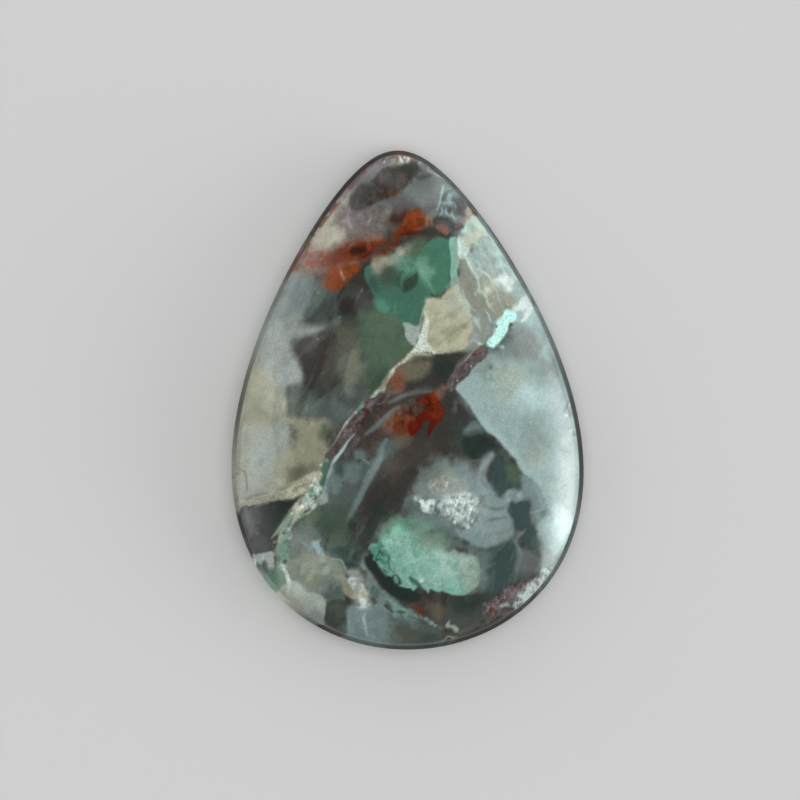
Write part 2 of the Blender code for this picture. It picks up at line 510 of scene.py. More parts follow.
def lay_left_side(rock):
    rock.patch("blue_mist", 1.4, [
        (-9.6, 8.8), (-8.4, 10), (-7.2, 9.8), (-6.9, 8.4), (-8, 7), (-9.6, 6.8)], 0.9)
    rock.patch("fog", 1.0, [(-10.4, 7.2), (-9.5, 9.6), (-9, 10.8), (-8.5, 10.6), (-8.9, 9), (-9.6, 7)], 0.8)
    rock.patch("milk", 0.7, [
        (-10.2, 6.3), (-9.6, 6.4), (-9.4, 5.6), (-9.1, 4.9), (-8.8, 4.2), (-8.5, 3.2), (-8.1, 2.7),
        (-8.1, 2.1), (-8.6, 1.7), (-9.3, 1.5), (-9.7, 0.9), (-10.4, 2.6)])
    rock.patch("fog", 0.9, [(-9, 6.9), (-8.1, 7), (-7.8, 6.3), (-8.3, 5.6), (-9.2, 5.4)], 0.9)
    rock.vein("fog", 0.9, [
        (-9, 5.6, 0.8), (-8, 5.8, 0.9), (-7.2, 5.8, 0.9), (-6.2, 6, 0.5), (-5.2, 6.5, 0.3)])
    rock.patch("plum", 0.9, [
        (-8.8, 4.7), (-7.9, 4.9), (-7, 5.2), (-6, 5.5), (-5.3, 5.1), (-5.2, 4.2), (-5.5, 3), (-5.4, 2),
        (-5.9, 1.1), (-6.8, 0.9), (-7.6, 1.5), (-7.9, 2.4), (-8.1, 3.2), (-8.5, 3.9)])
    rock.patch("slate", 0.8, [(-9.4, 0.9), (-8.7, 1.4), (-8, 1.4), (-8.2, 0.5), (-9, -0.4)], 0.9)
    rock.patch("teal_grey", 0.7, [
        (-8.3, 0.6), (-7.2, 1), (-6.4, 0.9), (-6.9, 0.3), (-7.7, -0.5), (-8.6, -0.8)], 0.9)
    rock.patch("smoky", 1.2, [
        (-5.4, 8.6), (-4.3, 9.7), (-3.2, 10.3), (-2.8, 9.6), (-2.2, 8.4), (-1.9, 7.6), (-3, 7),
        (-4.6, 7.2)])
    rock.patch("sand", 1.2, [
        (-12.8, 0.6), (-12, 3.4), (-11, 2.6), (-10, 1.2), (-9.5, 0.2), (-10, -0.8), (-11, -0.6),
        (-12.4, -0.4)], 0.85)
    rock.patch("sand", 0.8, [(-10.9, 0.5), (-10.2, 0.9), (-9.8, 0.2), (-10, -0.5), (-10.6, -0.4)])
    rock.patch("tan", 1.0, [
        (-13.4, -0.6), (-11.6, -0.3), (-10.2, -0.9), (-10.6, -1.6), (-12, -1.5), (-13.3, -1.6)], 0.8)
    rock.patch("milk", 1.4, [
        (-15, -2), (-12, -2.4), (-10.2, -2.4), (-9.4, -2), (-10.1, -3.4), (-11.4, -5), (-13, -6.2),
        (-15, -6.6)])
    rock.patch("tan", 1.4, [
        (-8.2, -1.4), (-7.4, -2), (-8.4, -4), (-9.6, -6), (-11.4, -6.8), (-12, -6.2), (-10.6, -4.6),
        (-9.4, -2.8)], 0.35)
    rock.patch("umber", 0.9, [
        (-9.4, -5), (-8.2, -4.8), (-7.2, -5), (-7.6, -5.5), (-8.4, -6), (-9.4, -6.4)], 0.7)
    rock.patch("moss", 0.9, [(-7.1, -2.1), (-6.4, -1.7), (-5.9, -2.2), (-6.1, -2.9), (-6.9, -2.8)], 0.8)
    rock.vein("fog", 0.5, [(-9.6, -1.4, 0.2), (-9.2, -2.2, 0.25), (-8.7, -2.7, 0.1)], 0.35)
    rock.vein("mist", 0.10, [
        (-8.2, -0.8, 0.05), (-7.4, -0.4, 0.07), (-6.9, 0.1, 0.07), (-6.2, 0.7, 0.06),
        (-5.4, 1.3, 0.03)], 0.55)
    rock.vein("mist", 0.12, [(-6.7, 2.1, 0.05), (-6.4, 2.8, 0.06), (-5.8, 3.4, 0.03)], 0.4)
    rock.vein("mist", 0.12, [(-9, 0.1, 0.06), (-8.4, 0.7, 0.07), (-7.9, 1.1, 0.04)], 0.35)
    rock.patch("glow", 0.7, [
        (-5, 5), (-4.2, 5.6), (-3.7, 5), (-3.6, 3.4), (-3.9, 1.9), (-4.8, 1.2), (-5.1, 2.8)], 0.85)
    rock.patch("glow", 1.6, [(-6.2, 4.4), (-5, 5.2), (-4.1, 4.6), (-4, 2.2), (-5, 1.2), (-6, 2.2)], 0.4)
    rock.specks("cream", 0.08, [
        (-3.15, 8.8, 0.05), (-6.8, 5.1, 0.05), (-4.95, 6.7, 0.06), (-6.6, 8.75, 0.03)], 0.8)
    rock.patch("tan", 1.2, [
        (-14.6, 4), (-12.4, 5), (-11.6, 3), (-11, 1), (-10.8, -0.8), (-11.6, -2), (-12.4, -4), (-13.2, -6),
        (-15, -6)], 0.5)


def lay_tip(rock):
    rock.patch("bronze", 1.0, [
        (-4.8, 15.3), (-3.4, 15.4), (-1.8, 15.6), (-0.6, 15.6), (-0.6, 14), (-1, 13.2), (-2.6, 12.9),
        (-4.2, 13), (-5, 14)], 0.95)
    rock.growths("lavender", 0.6, [
        (-4.6, 16.4), (-2, 15.6), (-0.6, 16), (0.6, 15.6), (-0.8, 14.4), (-1.6, 13.4), (-3.4, 13),
        (-5, 13.8)], 1.2, 0.35, 0.55)
    rock.growths("ash", 0.8, [
        (-6, 15.6), (-4, 16.8), (-1, 15.8), (1, 15.4), (-0.8, 13.6), (-3.4, 13), (-6, 13.6)], 2.6, 0.3, 0.4)
    rock.growths("butter", 0.8, [
        (-7, 13.4), (-5, 16), (-3.6, 15.6), (-3.6, 13.4), (-5.4, 12.6)], 1.6, 0.4, 0.5)
    rock.patch("ash", 1.0, [
        (-1, 16.2), (0.2, 16.5), (1.2, 16), (3, 15.4), (2.4, 15), (1, 15), (-0.4, 14.9), (-1, 15.2)])
    rock.patch("mist", 1.0, [(0.4, 16.8), (1.2, 17.6), (2.6, 17.8), (3.6, 17), (3.4, 16), (2, 15.8)])
    rock.patch("smoke_brown", 0.35, [
        (-3.9, 16), (-3.3, 16.9), (-2.5, 17.6), (-1.6, 18.2), (-0.6, 18.6), (0.6, 18.95), (1.4, 18.9),
        (1.7, 18.2), (1.4, 17.7), (0.6, 17), (0, 16.6), (-0.6, 16.3), (-1.2, 16), (-2.2, 15.5),
        (-3.3, 15.2), (-3.8, 15.4)], 0.95, ragged=0.25)
    rock.patch("bark", 0.7, [
        (-1.8, 17), (-0.8, 17.3), (0.2, 17), (-0.2, 16.4), (-1.2, 16.2), (-2, 16.3)], 0.7, ragged=0.3)
    rock.patch("ash", 0.5, [
        (-1.7, 17.6), (-1, 17.9), (-0.2, 17.7), (0.2, 17.2), (-0.6, 17.3), (-1.3, 17.2)], 0.5, ragged=0.3)
    rock.growths("bronze", 0.3, [
        (-3.9, 16), (-3.3, 16.9), (-2, 17.9), (-0.4, 18.3), (0.8, 17.6), (-0.4, 16.6), (-1.4, 16),
        (-3.3, 15.3)], 3.0, 0.45, 0.35)
    rock.growths("pocket", 0.3, [
        (-3.9, 16), (-3.3, 16.9), (-2, 17.6), (-0.8, 17.4), (-1.4, 16.1), (-3.3, 15.3)], 3.6, 0.3, 0.75)
    rock.growths("pocket", 0.3, [
        (-0.4, 18.2), (0.6, 18.9), (1.5, 18.8), (1.6, 18.2), (0.8, 17.7), (0, 17.7)], 2.0, 0.45, 0.6)
    rock.growths("fog", 0.4, [
        (-3.3, 17), (-1.6, 18.3), (0.4, 18.9), (0.6, 18.5), (-0.6, 17.9), (-2, 17)], 3.0, 0.2, 0.25)
    rock.patch("pocket", 0.3, [
        (-0.2, 18.5), (0.6, 18.85), (1.5, 18.75), (1.4, 18.3), (0.6, 18.1)], 0.8, ragged=0.2)
    rock.vein("rust", 0.15, [
        (-1.5, 16.15, 0.1), (-1, 16.5, 0.22), (-0.5, 16.55, 0.25), (0, 16.45, 0.15)], ragged=0.12)
    rock.vein("lavender", 0.2, [
        (-4.1, 16.8, 0.25), (-3.2, 17.6, 0.3), (-2.4, 18.2, 0.4), (-1.6, 18.6, 0.4), (-0.9, 18.75, 0.3)])
    rock.patch("lavender", 0.2, [
        (-2, 18.8), (-1.6, 19.4), (-0.9, 19.9), (-0.4, 19.6), (-0.5, 19), (-1.2, 18.8)], 0.9, ragged=0.15)
    rock.patch("fibre", 0.12, [
        (-0.8, 18.85), (-0.6, 19.4), (0, 19.65), (0.8, 19.5), (1.3, 19.3), (0.9, 18.95),
        (0, 18.9)], ragged=0.15)
    rock.patch("brick", 0.15, [
        (-1, 20.2), (-0.6, 19.7), (0, 19.6), (0.8, 19.5), (1.2, 19.7), (0.7, 20.2), (0, 20.6)], ragged=0.2)
    rock.specks("orange", 0.1, [
        (-0.3, 20, 0.16), (0.4, 19.85, 0.2), (0.75, 19.6, 0.13), (-0.6, 19.8, 0.14), (0.1, 20.1, 0.1),
        (-0.2, 18.9, 0.1), (0.5, 18.95, 0.08)])
    rock.vein("bone", 0.08, [(0.2, 19.4, 0.06), (0.3, 19.2, 0.14), (0.4, 19, 0.12)])
    rock.specks("bone", 0.08, [(0.9, 19.22, 0.12), (-1.02, 18.98, 0.07), (-0.3, 19.35, 0.08)])
    rock.specks("bark", 0.15, [(-1.2, 19.5, 0.22), (-0.75, 19.35, 0.12), (-1.6, 19.05, 0.12)], 0.9)
    rock.patch("pocket", 0.3, [(1.2, 19.0), (1.7, 18.9), (2.1, 18.3), (1.8, 18.1), (1.4, 18.4)], 0.8)
    rock.patch("lavender", 0.12, [(1.6, 18.9), (2.1, 18.9), (2.4, 18.5), (2.2, 18.3), (1.9, 18.4)])
    rock.specks("turquoise", 0.08, [
        (1.75, 19.02, 0.15), (2.0, 18.98, 0.09), (2.48, 18.6, 0.1), (2.2, 19.05, 0.06)])
    rock.vein("sea_green", 0.1, [(1.5, 19.15, 0.1), (2.1, 19.1, 0.15), (2.4, 18.9, 0.1)], 0.8)
    rock.vein("pocket", 0.3, [(1.5, 17.65, 0.25), (2, 17.7, 0.35), (2.6, 17.85, 0.25)], 0.5, ragged=0.15)
    # Pale line along the crease up by the tip: partly white stone and partly a painted highlight of the
    # crease
    rock.vein("ice", 0.15, [(2.4, 18.3, 0.15), (3, 17.95, 0.2), (3.6, 17.6, 0.2), (4.3, 17.2, 0.15)], 0.7)
    rock.specks("teal_grey", 0.5, [(-1.35, 15.2, 0.3)], 0.5)
    rock.specks("fog", 0.6, [(-0.7, 14.95, 0.25), (-1.5, 13.9, 0.2)], 0.5)
    rock.patch("bark", 1.0, [(-1.2, 14), (-0.8, 15), (0.4, 15.3), (1.1, 14.9), (0.6, 14.2), (-0.4, 13.6)])
    rock.patch("maroon", 0.6, [
        (-0.6, 14.2), (-0.4, 14.8), (0.4, 14.9), (0.6, 14.5), (0, 14)], 0.5, ragged=0.2)
    rock.vein("bone", 0.06, [(-2.5, 14.15, 0.03), (-2.35, 14.4, 0.06), (-2.22, 14.62, 0.03)], 0.8)
    rock.specks("cream", 0.06, [(-3.92, 13.98, 0.06)], 0.9)
    rock.patch("butter", 1.0, [
        (-6.4, 12.6), (-5.6, 13.4), (-4.7, 13.6), (-4.6, 13), (-5.2, 12.5), (-6, 12.2)], 0.9)
    rock.patch("sand", 0.8, [(-6.1, 12.7), (-5.4, 13.2), (-4.8, 13.2), (-5, 12.6), (-5.6, 12.3)], 0.6)


def lay_rust_band(rock):
    rock.patch("brick", 1.2, [
        (-9.4, 10.8), (-8.4, 12.4), (-6.8, 12.2), (-5.4, 12.4), (-4, 13), (-2.4, 13.2), (-1, 12.8),
        (-2.6, 11.2), (-4.6, 10.6), (-6.6, 10.5), (-8, 10.8)], 0.9)
    rock.vein("orange", 0.35, [
        (-9.4, 10.4, 0.2), (-8.4, 10.9, 0.3), (-7.2, 11.1, 0.5), (-6.2, 11.3, 0.7),
        (-5.4, 11.5, 0.8)], 0.85, ragged=0.35)
    rock.vein("orange", 0.25, [
        (-9, 11.2, 0.1), (-8, 11.6, 0.2), (-7, 11.9, 0.25), (-6, 11.9, 0.3)], 0.6, ragged=0.3)
    rock.patch("brick", 0.35, [
        (-7, 11), (-6.4, 11.5), (-5.7, 11.2), (-5.9, 10.7), (-6.4, 10.5), (-6.9, 10.7)], 0.6)
    rock.growths("orange", 0.8, [
        (-9, 11), (-7.6, 12.2), (-5, 12.3), (-4, 12.8), (-2, 13), (-3, 11.2), (-6, 10.6),
        (-8, 10.8)], 1.8, 0.4, 0.5)
    rock.growths("lavender", 0.8, [
        (-9, 11), (-7.6, 12.2), (-6, 12.1), (-6, 10.6), (-8, 10.8)], 1.6, 0.3, 0.5)
    rock.patch("rust", 0.55, [
        (-5.7, 11.4), (-5.2, 12), (-4.4, 12.4), (-3.6, 12.7), (-2.8, 12.7), (-1.9, 12.6), (-1, 12.8),
        (-0.7, 13.3), (0, 13.7), (0.5, 14.2), (0.8, 14.8), (1.3, 15), (1.7, 14.8), (1.5, 14.3), (1.8, 14),
        (1.9, 13.6), (1, 13.4), (0.3, 13.1), (-0.3, 12.5), (-1.2, 11.9), (-2.3, 11.4), (-3.2, 11.2),
        (-4.2, 11.2), (-5.2, 11)], ragged=0.2)
    rock.patch("orange", 0.5, [
        (0.4, 14), (0.8, 14.8), (1.3, 15), (1.7, 14.7), (1.5, 14.2), (1.6, 13.8),
        (1, 13.8)], 0.9, ragged=0.15)
    rock.patch("orange", 0.6, [(-4.2, 11.8), (-3.4, 11.6), (-2.8, 11.3), (-3.8, 11.25), (-4.6, 11.4)], 0.7)
    rock.growths("ember", 0.4, [
        (-5.5, 11.2), (-4.4, 12.4), (-2.8, 12.7), (-1, 12.8), (0, 13.7), (0.8, 14.8), (1.6, 14.7),
        (1.8, 13.8), (0.3, 13.1), (-1.2, 11.9), (-3.2, 11.2)], 1.4, 0.4, 0.7)
    rock.growths("bark", 0.4, [
        (-4.6, 11.4), (-3.6, 12.6), (-1.4, 12.7), (0, 13.6), (1.6, 14), (0.3, 13.1), (-1.2, 11.9),
        (-3, 11.3)], 1.8, 0.25, 0.6)
    rock.growths("brick", 0.5, [
        (-5.5, 11.2), (-4.4, 12.4), (-2.8, 12.9), (-1, 13.2), (0, 13.9), (-1.2, 12.4),
        (-3.2, 11.2)], 2.8, 0.2, 0.4)
    rock.growths("rust", 0.5, [
        (-6.4, 10.9), (-5.4, 12.2), (-3.6, 12.5), (-3.4, 11.4), (-5.2, 10.9)], 1.6, 0.6, 0.7)
    rock.patch("brick", 0.35, [
        (1.6, 14.3), (2.1, 14.7), (2.5, 14.5), (2.6, 14), (2.2, 13.75), (1.7, 13.9)], 0.7)
    rock.growths("rust", 0.3, [
        (1.4, 14.4), (2.1, 14.7), (2.6, 14.3), (2.3, 13.7), (1.6, 13.8)], 2.4, 0.6, 0.85)
    rock.patch("rust", 0.4, [(-5.6, 11.5), (-5, 12), (-4.4, 12), (-4.6, 11.5), (-5.2, 11.3)], 0.7)
    rock.patch("maroon", 0.3, [
        (-4.1, 12), (-3.7, 12.35), (-3.1, 12.35), (-2.7, 12.1), (-2.8, 11.8), (-3.4, 11.7), (-3.9, 11.75)])
    rock.patch("butter", 0.9, [
        (-6.6, 12.5), (-5.8, 13.4), (-4.8, 13.8), (-4.4, 13.2), (-4.9, 12.6), (-5.9, 12.2)], 0.85)
    rock.patch("cream", 0.8, [(-6, 12.7), (-5.4, 13.3), (-4.8, 13.3), (-4.9, 12.7), (-5.5, 12.4)], 0.5)
    rock.vein("blood", 0.3, [(-3.3, 11.45, 0.1), (-2.8, 11.5, 0.3), (-2.4, 11.8, 0.1)])
    rock.vein("bark", 0.35, [(-2.5, 11.3, 0.3), (-1.8, 11.8, 0.5), (-1.2, 12.15, 0.45), (-0.6, 12.7, 0.25)])
    rock.vein("rust", 0.3, [
        (-2.2, 11.2, 0.1), (-1.4, 11.7, 0.25), (-0.7, 12.1, 0.3), (0, 12.8, 0.2)], 0.8, ragged=0.15)
    rock.patch("maroon", 0.4, [(1.4, 13.1), (2.2, 13.5), (2.8, 13.5), (3, 13), (2.2, 12.8)], 0.6)
    rock.patch("bark", 0.35, [
        (0, 13.1), (1.2, 13.35), (2, 13.6), (2.6, 13.8), (3, 13.4), (3.4, 12.9), (2.9, 12.8), (2.2, 12.7),
        (1.4, 12.7), (0.6, 12.6), (0, 12.7)])
    rock.vein("blood", 0.25, [(0, 13.15, 0.15), (0.8, 13.2, 0.3), (1.7, 13.35, 0.15)], 0.9)
    rock.vein("brick", 0.25, [(1.2, 13.5, 0.1), (1.9, 13.6, 0.2), (2.4, 13.85, 0.15)], 0.5)
    rock.patch("pocket", 0.3, [(1.8, 13.5), (2.5, 13.65), (3, 13.3), (2.4, 12.9), (1.7, 13.1)], 0.7)
    rock.vein("brick", 0.12, [(0, 13.75, 0.05), (0.5, 13.95, 0.08), (0.9, 13.8, 0.05)], 0.4)
    rock.vein("brick", 0.2, [
        (-6.1, 10.45, 0.1), (-5.4, 10.8, 0.2), (-4.8, 10.8, 0.2), (-4, 11.0, 0.2),
        (-3.3, 11.05, 0.15)], 0.9)
    rock.vein("butter", 0.1, [(-4.1, 12.1, 0.05), (-3.9, 12.4, 0.1), (-3.5, 12.65, 0.06)], 0.4)
    rock.patch("orange", 0.5, [
        (-6.2, 9.9), (-5.5, 10.5), (-4.7, 10.6), (-3.9, 10.6), (-3.2, 10.7), (-3.2, 10.45), (-3.8, 10.1),
        (-4.3, 9.7), (-4.8, 9.2), (-5.2, 9), (-5.9, 9.05), (-6.2, 9.5)], 0.85, ragged=0.1)
    rock.patch("orange", 0.4, [
        (-5.4, 10.6), (-4.2, 11), (-3.1, 11), (-3.2, 10.5), (-3.9, 9.9), (-4.4, 9.3), (-5.2, 9.1),
        (-5.6, 9.6)], 0.85, ragged=0.1)
    rock.vein("bone", 0.08, [
        (-4.88, 10.6, 0.05), (-4.72, 10.25, 0.12), (-4.6, 9.95, 0.06), (-4.5, 9.75, 0.09)], 0.7)
    rock.vein("orange", 0.3, [(-9, 11, 0.3), (-8.5, 11.8, 0.4), (-7.9, 12.6, 0.3)], 0.5, ragged=0.3)


def lay_greens(rock):
    rock.patch("olive", 0.8, [
        (-3.6, 6.6), (-2.6, 7.2), (-1.2, 7), (0, 5.9), (0.4, 4.9), (0.9, 4.2), (0, 3.2), (-1, 2.4),
        (-2, 2.6), (-3.2, 3.4), (-3.5, 5)], 0.7)
    rock.patch("olive", 0.7, [
        (-2.8, 10.4), (-1.6, 11.2), (0, 12.2), (1, 12.6), (2, 12.7), (1.8, 11), (1.4, 9.6), (0, 9.6),
        (-2, 9.6)], 0.9)
    rock.patch("butter", 1.0, [
        (-2.4, 10.9), (-1.6, 11.4), (-0.5, 12), (0.4, 12.4), (0.7, 11.9), (0.3, 11.2), (-0.5, 10.8),
        (-1.3, 10.7), (-1.9, 10.1), (-2.3, 10.2)], 0.8)
    rock.patch("emerald", 0.16, [
        (-2.95, 10.4), (-2.8, 9.5), (-2.4, 8.7), (-2.05, 7.9), (-1.9, 7.3), (-1.3, 7.05), (-0.6, 6.6),
        (-0.1, 6.05), (0.6, 5.9), (1.4, 5.9), (1.9, 7), (2.4, 7.9), (2.2, 8.8), (1.8, 9.6), (1.6, 10.4),
        (1.5, 11.3), (0.6, 11.6), (0, 11.2), (-0.8, 10.6), (-1.6, 10.1), (-2.2, 10.4), (-2.6, 10.8)], 0.9)
    rock.patch("butter", 1.0, [
        (-2.35, 10.6), (-1.8, 11.1), (-0.8, 11.6), (0.2, 12.2), (0.4, 11.6), (-0.3, 11), (-1.2, 10.6),
        (-1.7, 10.1), (-2.1, 10)], 0.6)
    rock.growths("leaf", 0.5, [(-2.4, 10.4), (-1, 11.6), (0.4, 12), (1, 10.8), (-0.4, 9.8)], 1.6, 0.4, 0.5)
    rock.patch("deep_teal", 0.6, [(-2.6, 9.9), (-2.1, 10), (-1.8, 9.4), (-2, 8.7), (-2.4, 9)], 0.7)
    rock.patch("moss", 0.8, [
        (-1.6, 9.9), (-1, 10.5), (-0.4, 10.2), (-0.3, 9.4), (-0.9, 9.1), (-1.6, 9.3)], 0.8)
    rock.patch("sea_green", 0.6, [(-2, 7.9), (-1.5, 7.9), (-1.1, 7.3), (-1.5, 7.1), (-1.9, 7.3)], 0.7)
    rock.vein("leaf", 0.3, [(-0.5, 7.7, 0.1), (-0.6, 7.2, 0.2), (-0.5, 6.9, 0.1)], 0.5)
    rock.patch("pocket", 0.4, [
        (0.35, 9.6), (0.85, 10), (1.35, 10.2), (1.5, 9.6), (1.2, 9.05), (0.7, 8.75), (0.25, 8.6),
        (0.2, 9)], 0.75)
    rock.vein("pocket", 0.3, [(0.1, 10.2, 0.1), (-0.3, 9.4, 0.3), (-0.1, 8.8, 0.1)], 0.4)
    rock.vein("leaf", 0.25, [(0.3, 11, 0.1), (0.6, 10.5, 0.2), (0.7, 10.2, 0.15), (1.1, 10.5, 0.12)], 0.6)
    rock.patch("emerald", 0.12, [
        (1.2, 10.8), (1.5, 11.5), (2.1, 12.3), (2.8, 12.75), (3.4, 12.85), (4, 12.6), (4.2, 12), (4.05, 11),
        (3.9, 10), (3.9, 9), (3.5, 8.6), (3, 8.15), (2.4, 8.2), (2, 8.7), (1.6, 9.3),
        (1.3, 10.1)], ragged=0.05)
    rock.patch("leaf", 0.5, [
        (1.3, 10.8), (1.5, 11.3), (2, 11.3), (2.3, 10.7), (2.7, 10.2), (2.5, 9.4), (2.9, 8.5), (2.5, 8.2),
        (2, 8.7), (1.6, 9.4), (1.3, 10.2)], 0.85)
    rock.patch("jade", 0.08, [
        (3.9, 12.7), (4.6, 12.7), (4.65, 11.4), (4.5, 10.4), (4.55, 9.4), (4.7, 8.6), (4.2, 8.6),
        (3.9, 8.9), (3.88, 10), (3.98, 11.3)], ragged=0.03)
    rock.patch("milk", 0.12, [
        (0.05, 6), (0.5, 6), (1.1, 5.85), (1.5, 5.9), (1.25, 5.2), (1, 4.6), (0.85, 4.25), (0.5, 4.6),
        (0.25, 5), (0.15, 5.5)], 0.9)


def lay_upper_right(rock):
    rock.patch("fog", 1.0, [
        (4.4, 12.4), (6.4, 11), (8.4, 9.4), (9.2, 8), (8.2, 6.4), (7, 4.6), (6.4, 3.9), (4.6, 3.6),
        (2.2, 4.4), (1.9, 7), (3.2, 8.4), (4.2, 10)], 0.9)
    rock.patch("ice", 0.8, [
        (5.2, 14.1), (6.1, 14.7), (7.2, 14.4), (8.2, 12.6), (7.4, 12.2), (6.6, 12.8), (5.9, 13.2),
        (4.9, 12.8), (4.6, 13.2)], 0.85)
    rock.growths("mint", 0.5, [
        (4.8, 13), (6, 14.6), (7.6, 13.6), (9.4, 10.6), (8.6, 10.4), (7, 12.4), (5.4, 12.2)], 1.4, 0.4, 0.5)
    rock.growths("mist", 0.5, [
        (6, 14.6), (8.2, 12.8), (10, 9.6), (9, 9.4), (7.2, 11.4),
        (5.8, 12.6)], 1.1, 0.35, 0.5, lean=-0.6, stretch=1.8)
    rock.patch("ice", 0.3, [
        (4.6, 12.9), (5, 12.7), (5.6, 12.1), (5.9, 12.0), (5.4, 11.5), (5, 11.1), (4.7, 11.1),
        (4.6, 11.8)], 0.9)
    rock.patch("cream", 0.4, [
        (4.9, 12.8), (5.6, 13), (6.4, 13.4), (6.8, 13), (6.3, 12.6), (5.9, 12.1), (5.4, 11.8),
        (5.1, 12.1)], 0.9)
    rock.vein("bone", 0.12, [
        (4.65, 12.6, 0.1), (4.7, 12, 0.25), (4.75, 11.5, 0.35), (5, 11.3, 0.3), (5.5, 11.8, 0.1)], 0.8)
    rock.vein("cream", 0.1, [(4.62, 11.2, 0.1), (4.5, 10.6, 0.06), (4.5, 10, 0.03)])
    rock.patch("milk_blue", 0.6, [
        (5.5, 11.6), (6.1, 12.3), (6.5, 12.6), (7.2, 12), (7.4, 11), (7.2, 10.2), (6.4, 10.4),
        (5.6, 11)], 0.9)
    rock.patch("fog", 0.5, [(6.3, 11.6), (6.7, 11.8), (7, 11.1), (7.4, 10.7), (7, 10.6), (6.5, 11)], 0.55)
    rock.patch("tan", 0.25, [
        (4.6, 10.8), (4.85, 11), (5.1, 10.7), (5.3, 10), (5.8, 9.3), (6.2, 8.4), (6, 7.4), (5.5, 7.2),
        (5.1, 7.6), (4.8, 8.4), (4.6, 9.5)], 0.5)
    rock.patch("mist", 0.5, [(4.65, 10.6), (4.95, 10.7), (5.1, 10), (4.9, 9.3), (4.65, 9.4)], 0.7)
    rock.vein("ice", 0.15, [
        (5.2, 11.2, 0.15), (5.5, 10.5, 0.22), (5.9, 9.8, 0.2), (6.15, 9.2, 0.18), (6.2, 8.4, 0.1)], 0.8)
    rock.vein("bone", 0.15, [(5.9, 10.4, 0.05), (6.5, 10, 0.15), (7, 9.6, 0.12), (7.2, 9.2, 0.1)], 0.6)
    rock.vein("cream", 0.2, [(6.6, 9.9, 0.1), (6.55, 9.2, 0.2), (6.7, 8.6, 0.3), (6.8, 8.2, 0.2)], 0.8)
    rock.patch("tan", 0.3, [(6.2, 9.6), (6.5, 9.4), (6.5, 8.6), (6.5, 8.2), (6.3, 8.2)], 0.6)
    rock.patch("cream", 0.7, [(6.6, 9.4), (7.2, 9.3), (7.9, 8.9), (8.4, 8.4), (7.4, 8.4), (6.8, 8.2)], 0.7)
    rock.patch("bone", 0.6, [(7.6, 9.3), (8.4, 9.7), (9.1, 9.4), (9, 8.6), (8.5, 8.3), (8, 8.9)], 0.95)
    rock.patch("tan", 0.35, [
        (5.6, 7.2), (6.4, 7.7), (6.9, 8.2), (7.6, 8.5), (8.4, 8.3), (9, 7.9), (9.2, 7.5), (8.7, 7.1),
        (8.1, 6.8), (7.5, 6.4), (7, 6.9), (6.3, 6.9)], 0.65)
    rock.vein("umber", 0.08, [
        (6, 7, 0.03), (6.5, 7.5, 0.05), (7, 8.1, 0.05), (7.6, 8.4, 0.05), (8.2, 8.15, 0.05),
        (8.9, 7.7, 0.04)], 0.6)
    rock.vein("umber", 0.15, [(8.2, 7.2, 0.05), (8.6, 7.15, 0.12), (8.9, 7.05, 0.05)], 0.7)
    rock.vein("cream", 0.08, [(6.9, 7.15, 0.08), (7.05, 7.3, 0.12), (7.15, 7.4, 0.08)], 0.8)
    rock.patch("milk_blue", 0.5, [
        (8.9, 8.8), (9.6, 9.2), (9.9, 8.6), (9.6, 8), (9.2, 7.6), (8.9, 7.9)], 0.7)
    rock.patch("fog", 0.4, [
        (5.2, 6.6), (5.9, 7), (6.5, 6.9), (7, 6.3), (7.2, 5.8), (6.9, 5.3), (6.3, 5.1), (5.5, 5.4),
        (5.2, 6)], 0.9)
    veils = [(4.6, 12.6), (6.6, 12.8), (8.8, 9.6), (9.4, 8), (7.6, 6.4), (6.8, 4.4), (5.4, 4.2), (5, 8)]
    rock.growths("ice", 0.4, veils, 2.4, 0.16, 0.45, lean=-0.5, stretch=3.5)
    rock.growths("mist", 0.4, veils, 2.0, 0.22, 0.4, lean=-0.5, stretch=2.5)
    rock.growths("tan", 0.4, veils, 1.4, 0.25, 0.2, lean=0.7, stretch=1.8)
    rock.patch("cream", 0.5, [
        (4.8, 12.2), (5.3, 13.2), (5.7, 14.2), (6.2, 14.4), (6.6, 13.8), (6.3, 13), (5.8, 12.2),
        (5.2, 11.6)], 0.35, ragged=0.2)
    rock.patch("leaf", 0.7, [(6, 12.2), (6.5, 12.4), (7, 11.8), (6.6, 11.2), (6, 11.5)], 0.4)
    rock.vein("ice", 0.08, [(6.6, 6.8, 0.05), (6.85, 6.45, 0.1), (6.95, 6.1, 0.1), (7.1, 5.9, 0.04)], 0.8)
    rock.patch("fog", 0.6, [
        (5.3, 5.6), (6.4, 5.2), (7, 5.2), (6.6, 4.5), (6.2, 4.2), (5.4, 4), (4.9, 4.4)], 0.8)
    rock.vein("cream", 0.1, [(5.1, 4.3, 0.06), (5.4, 4.5, 0.12), (5.7, 4.5, 0.12), (5.9, 4.25, 0.1)], 0.6)
    rock.specks("bone", 0.1, [(6, 4.25, 0.13), (6.15, 4.2, 0.1)], 0.8)


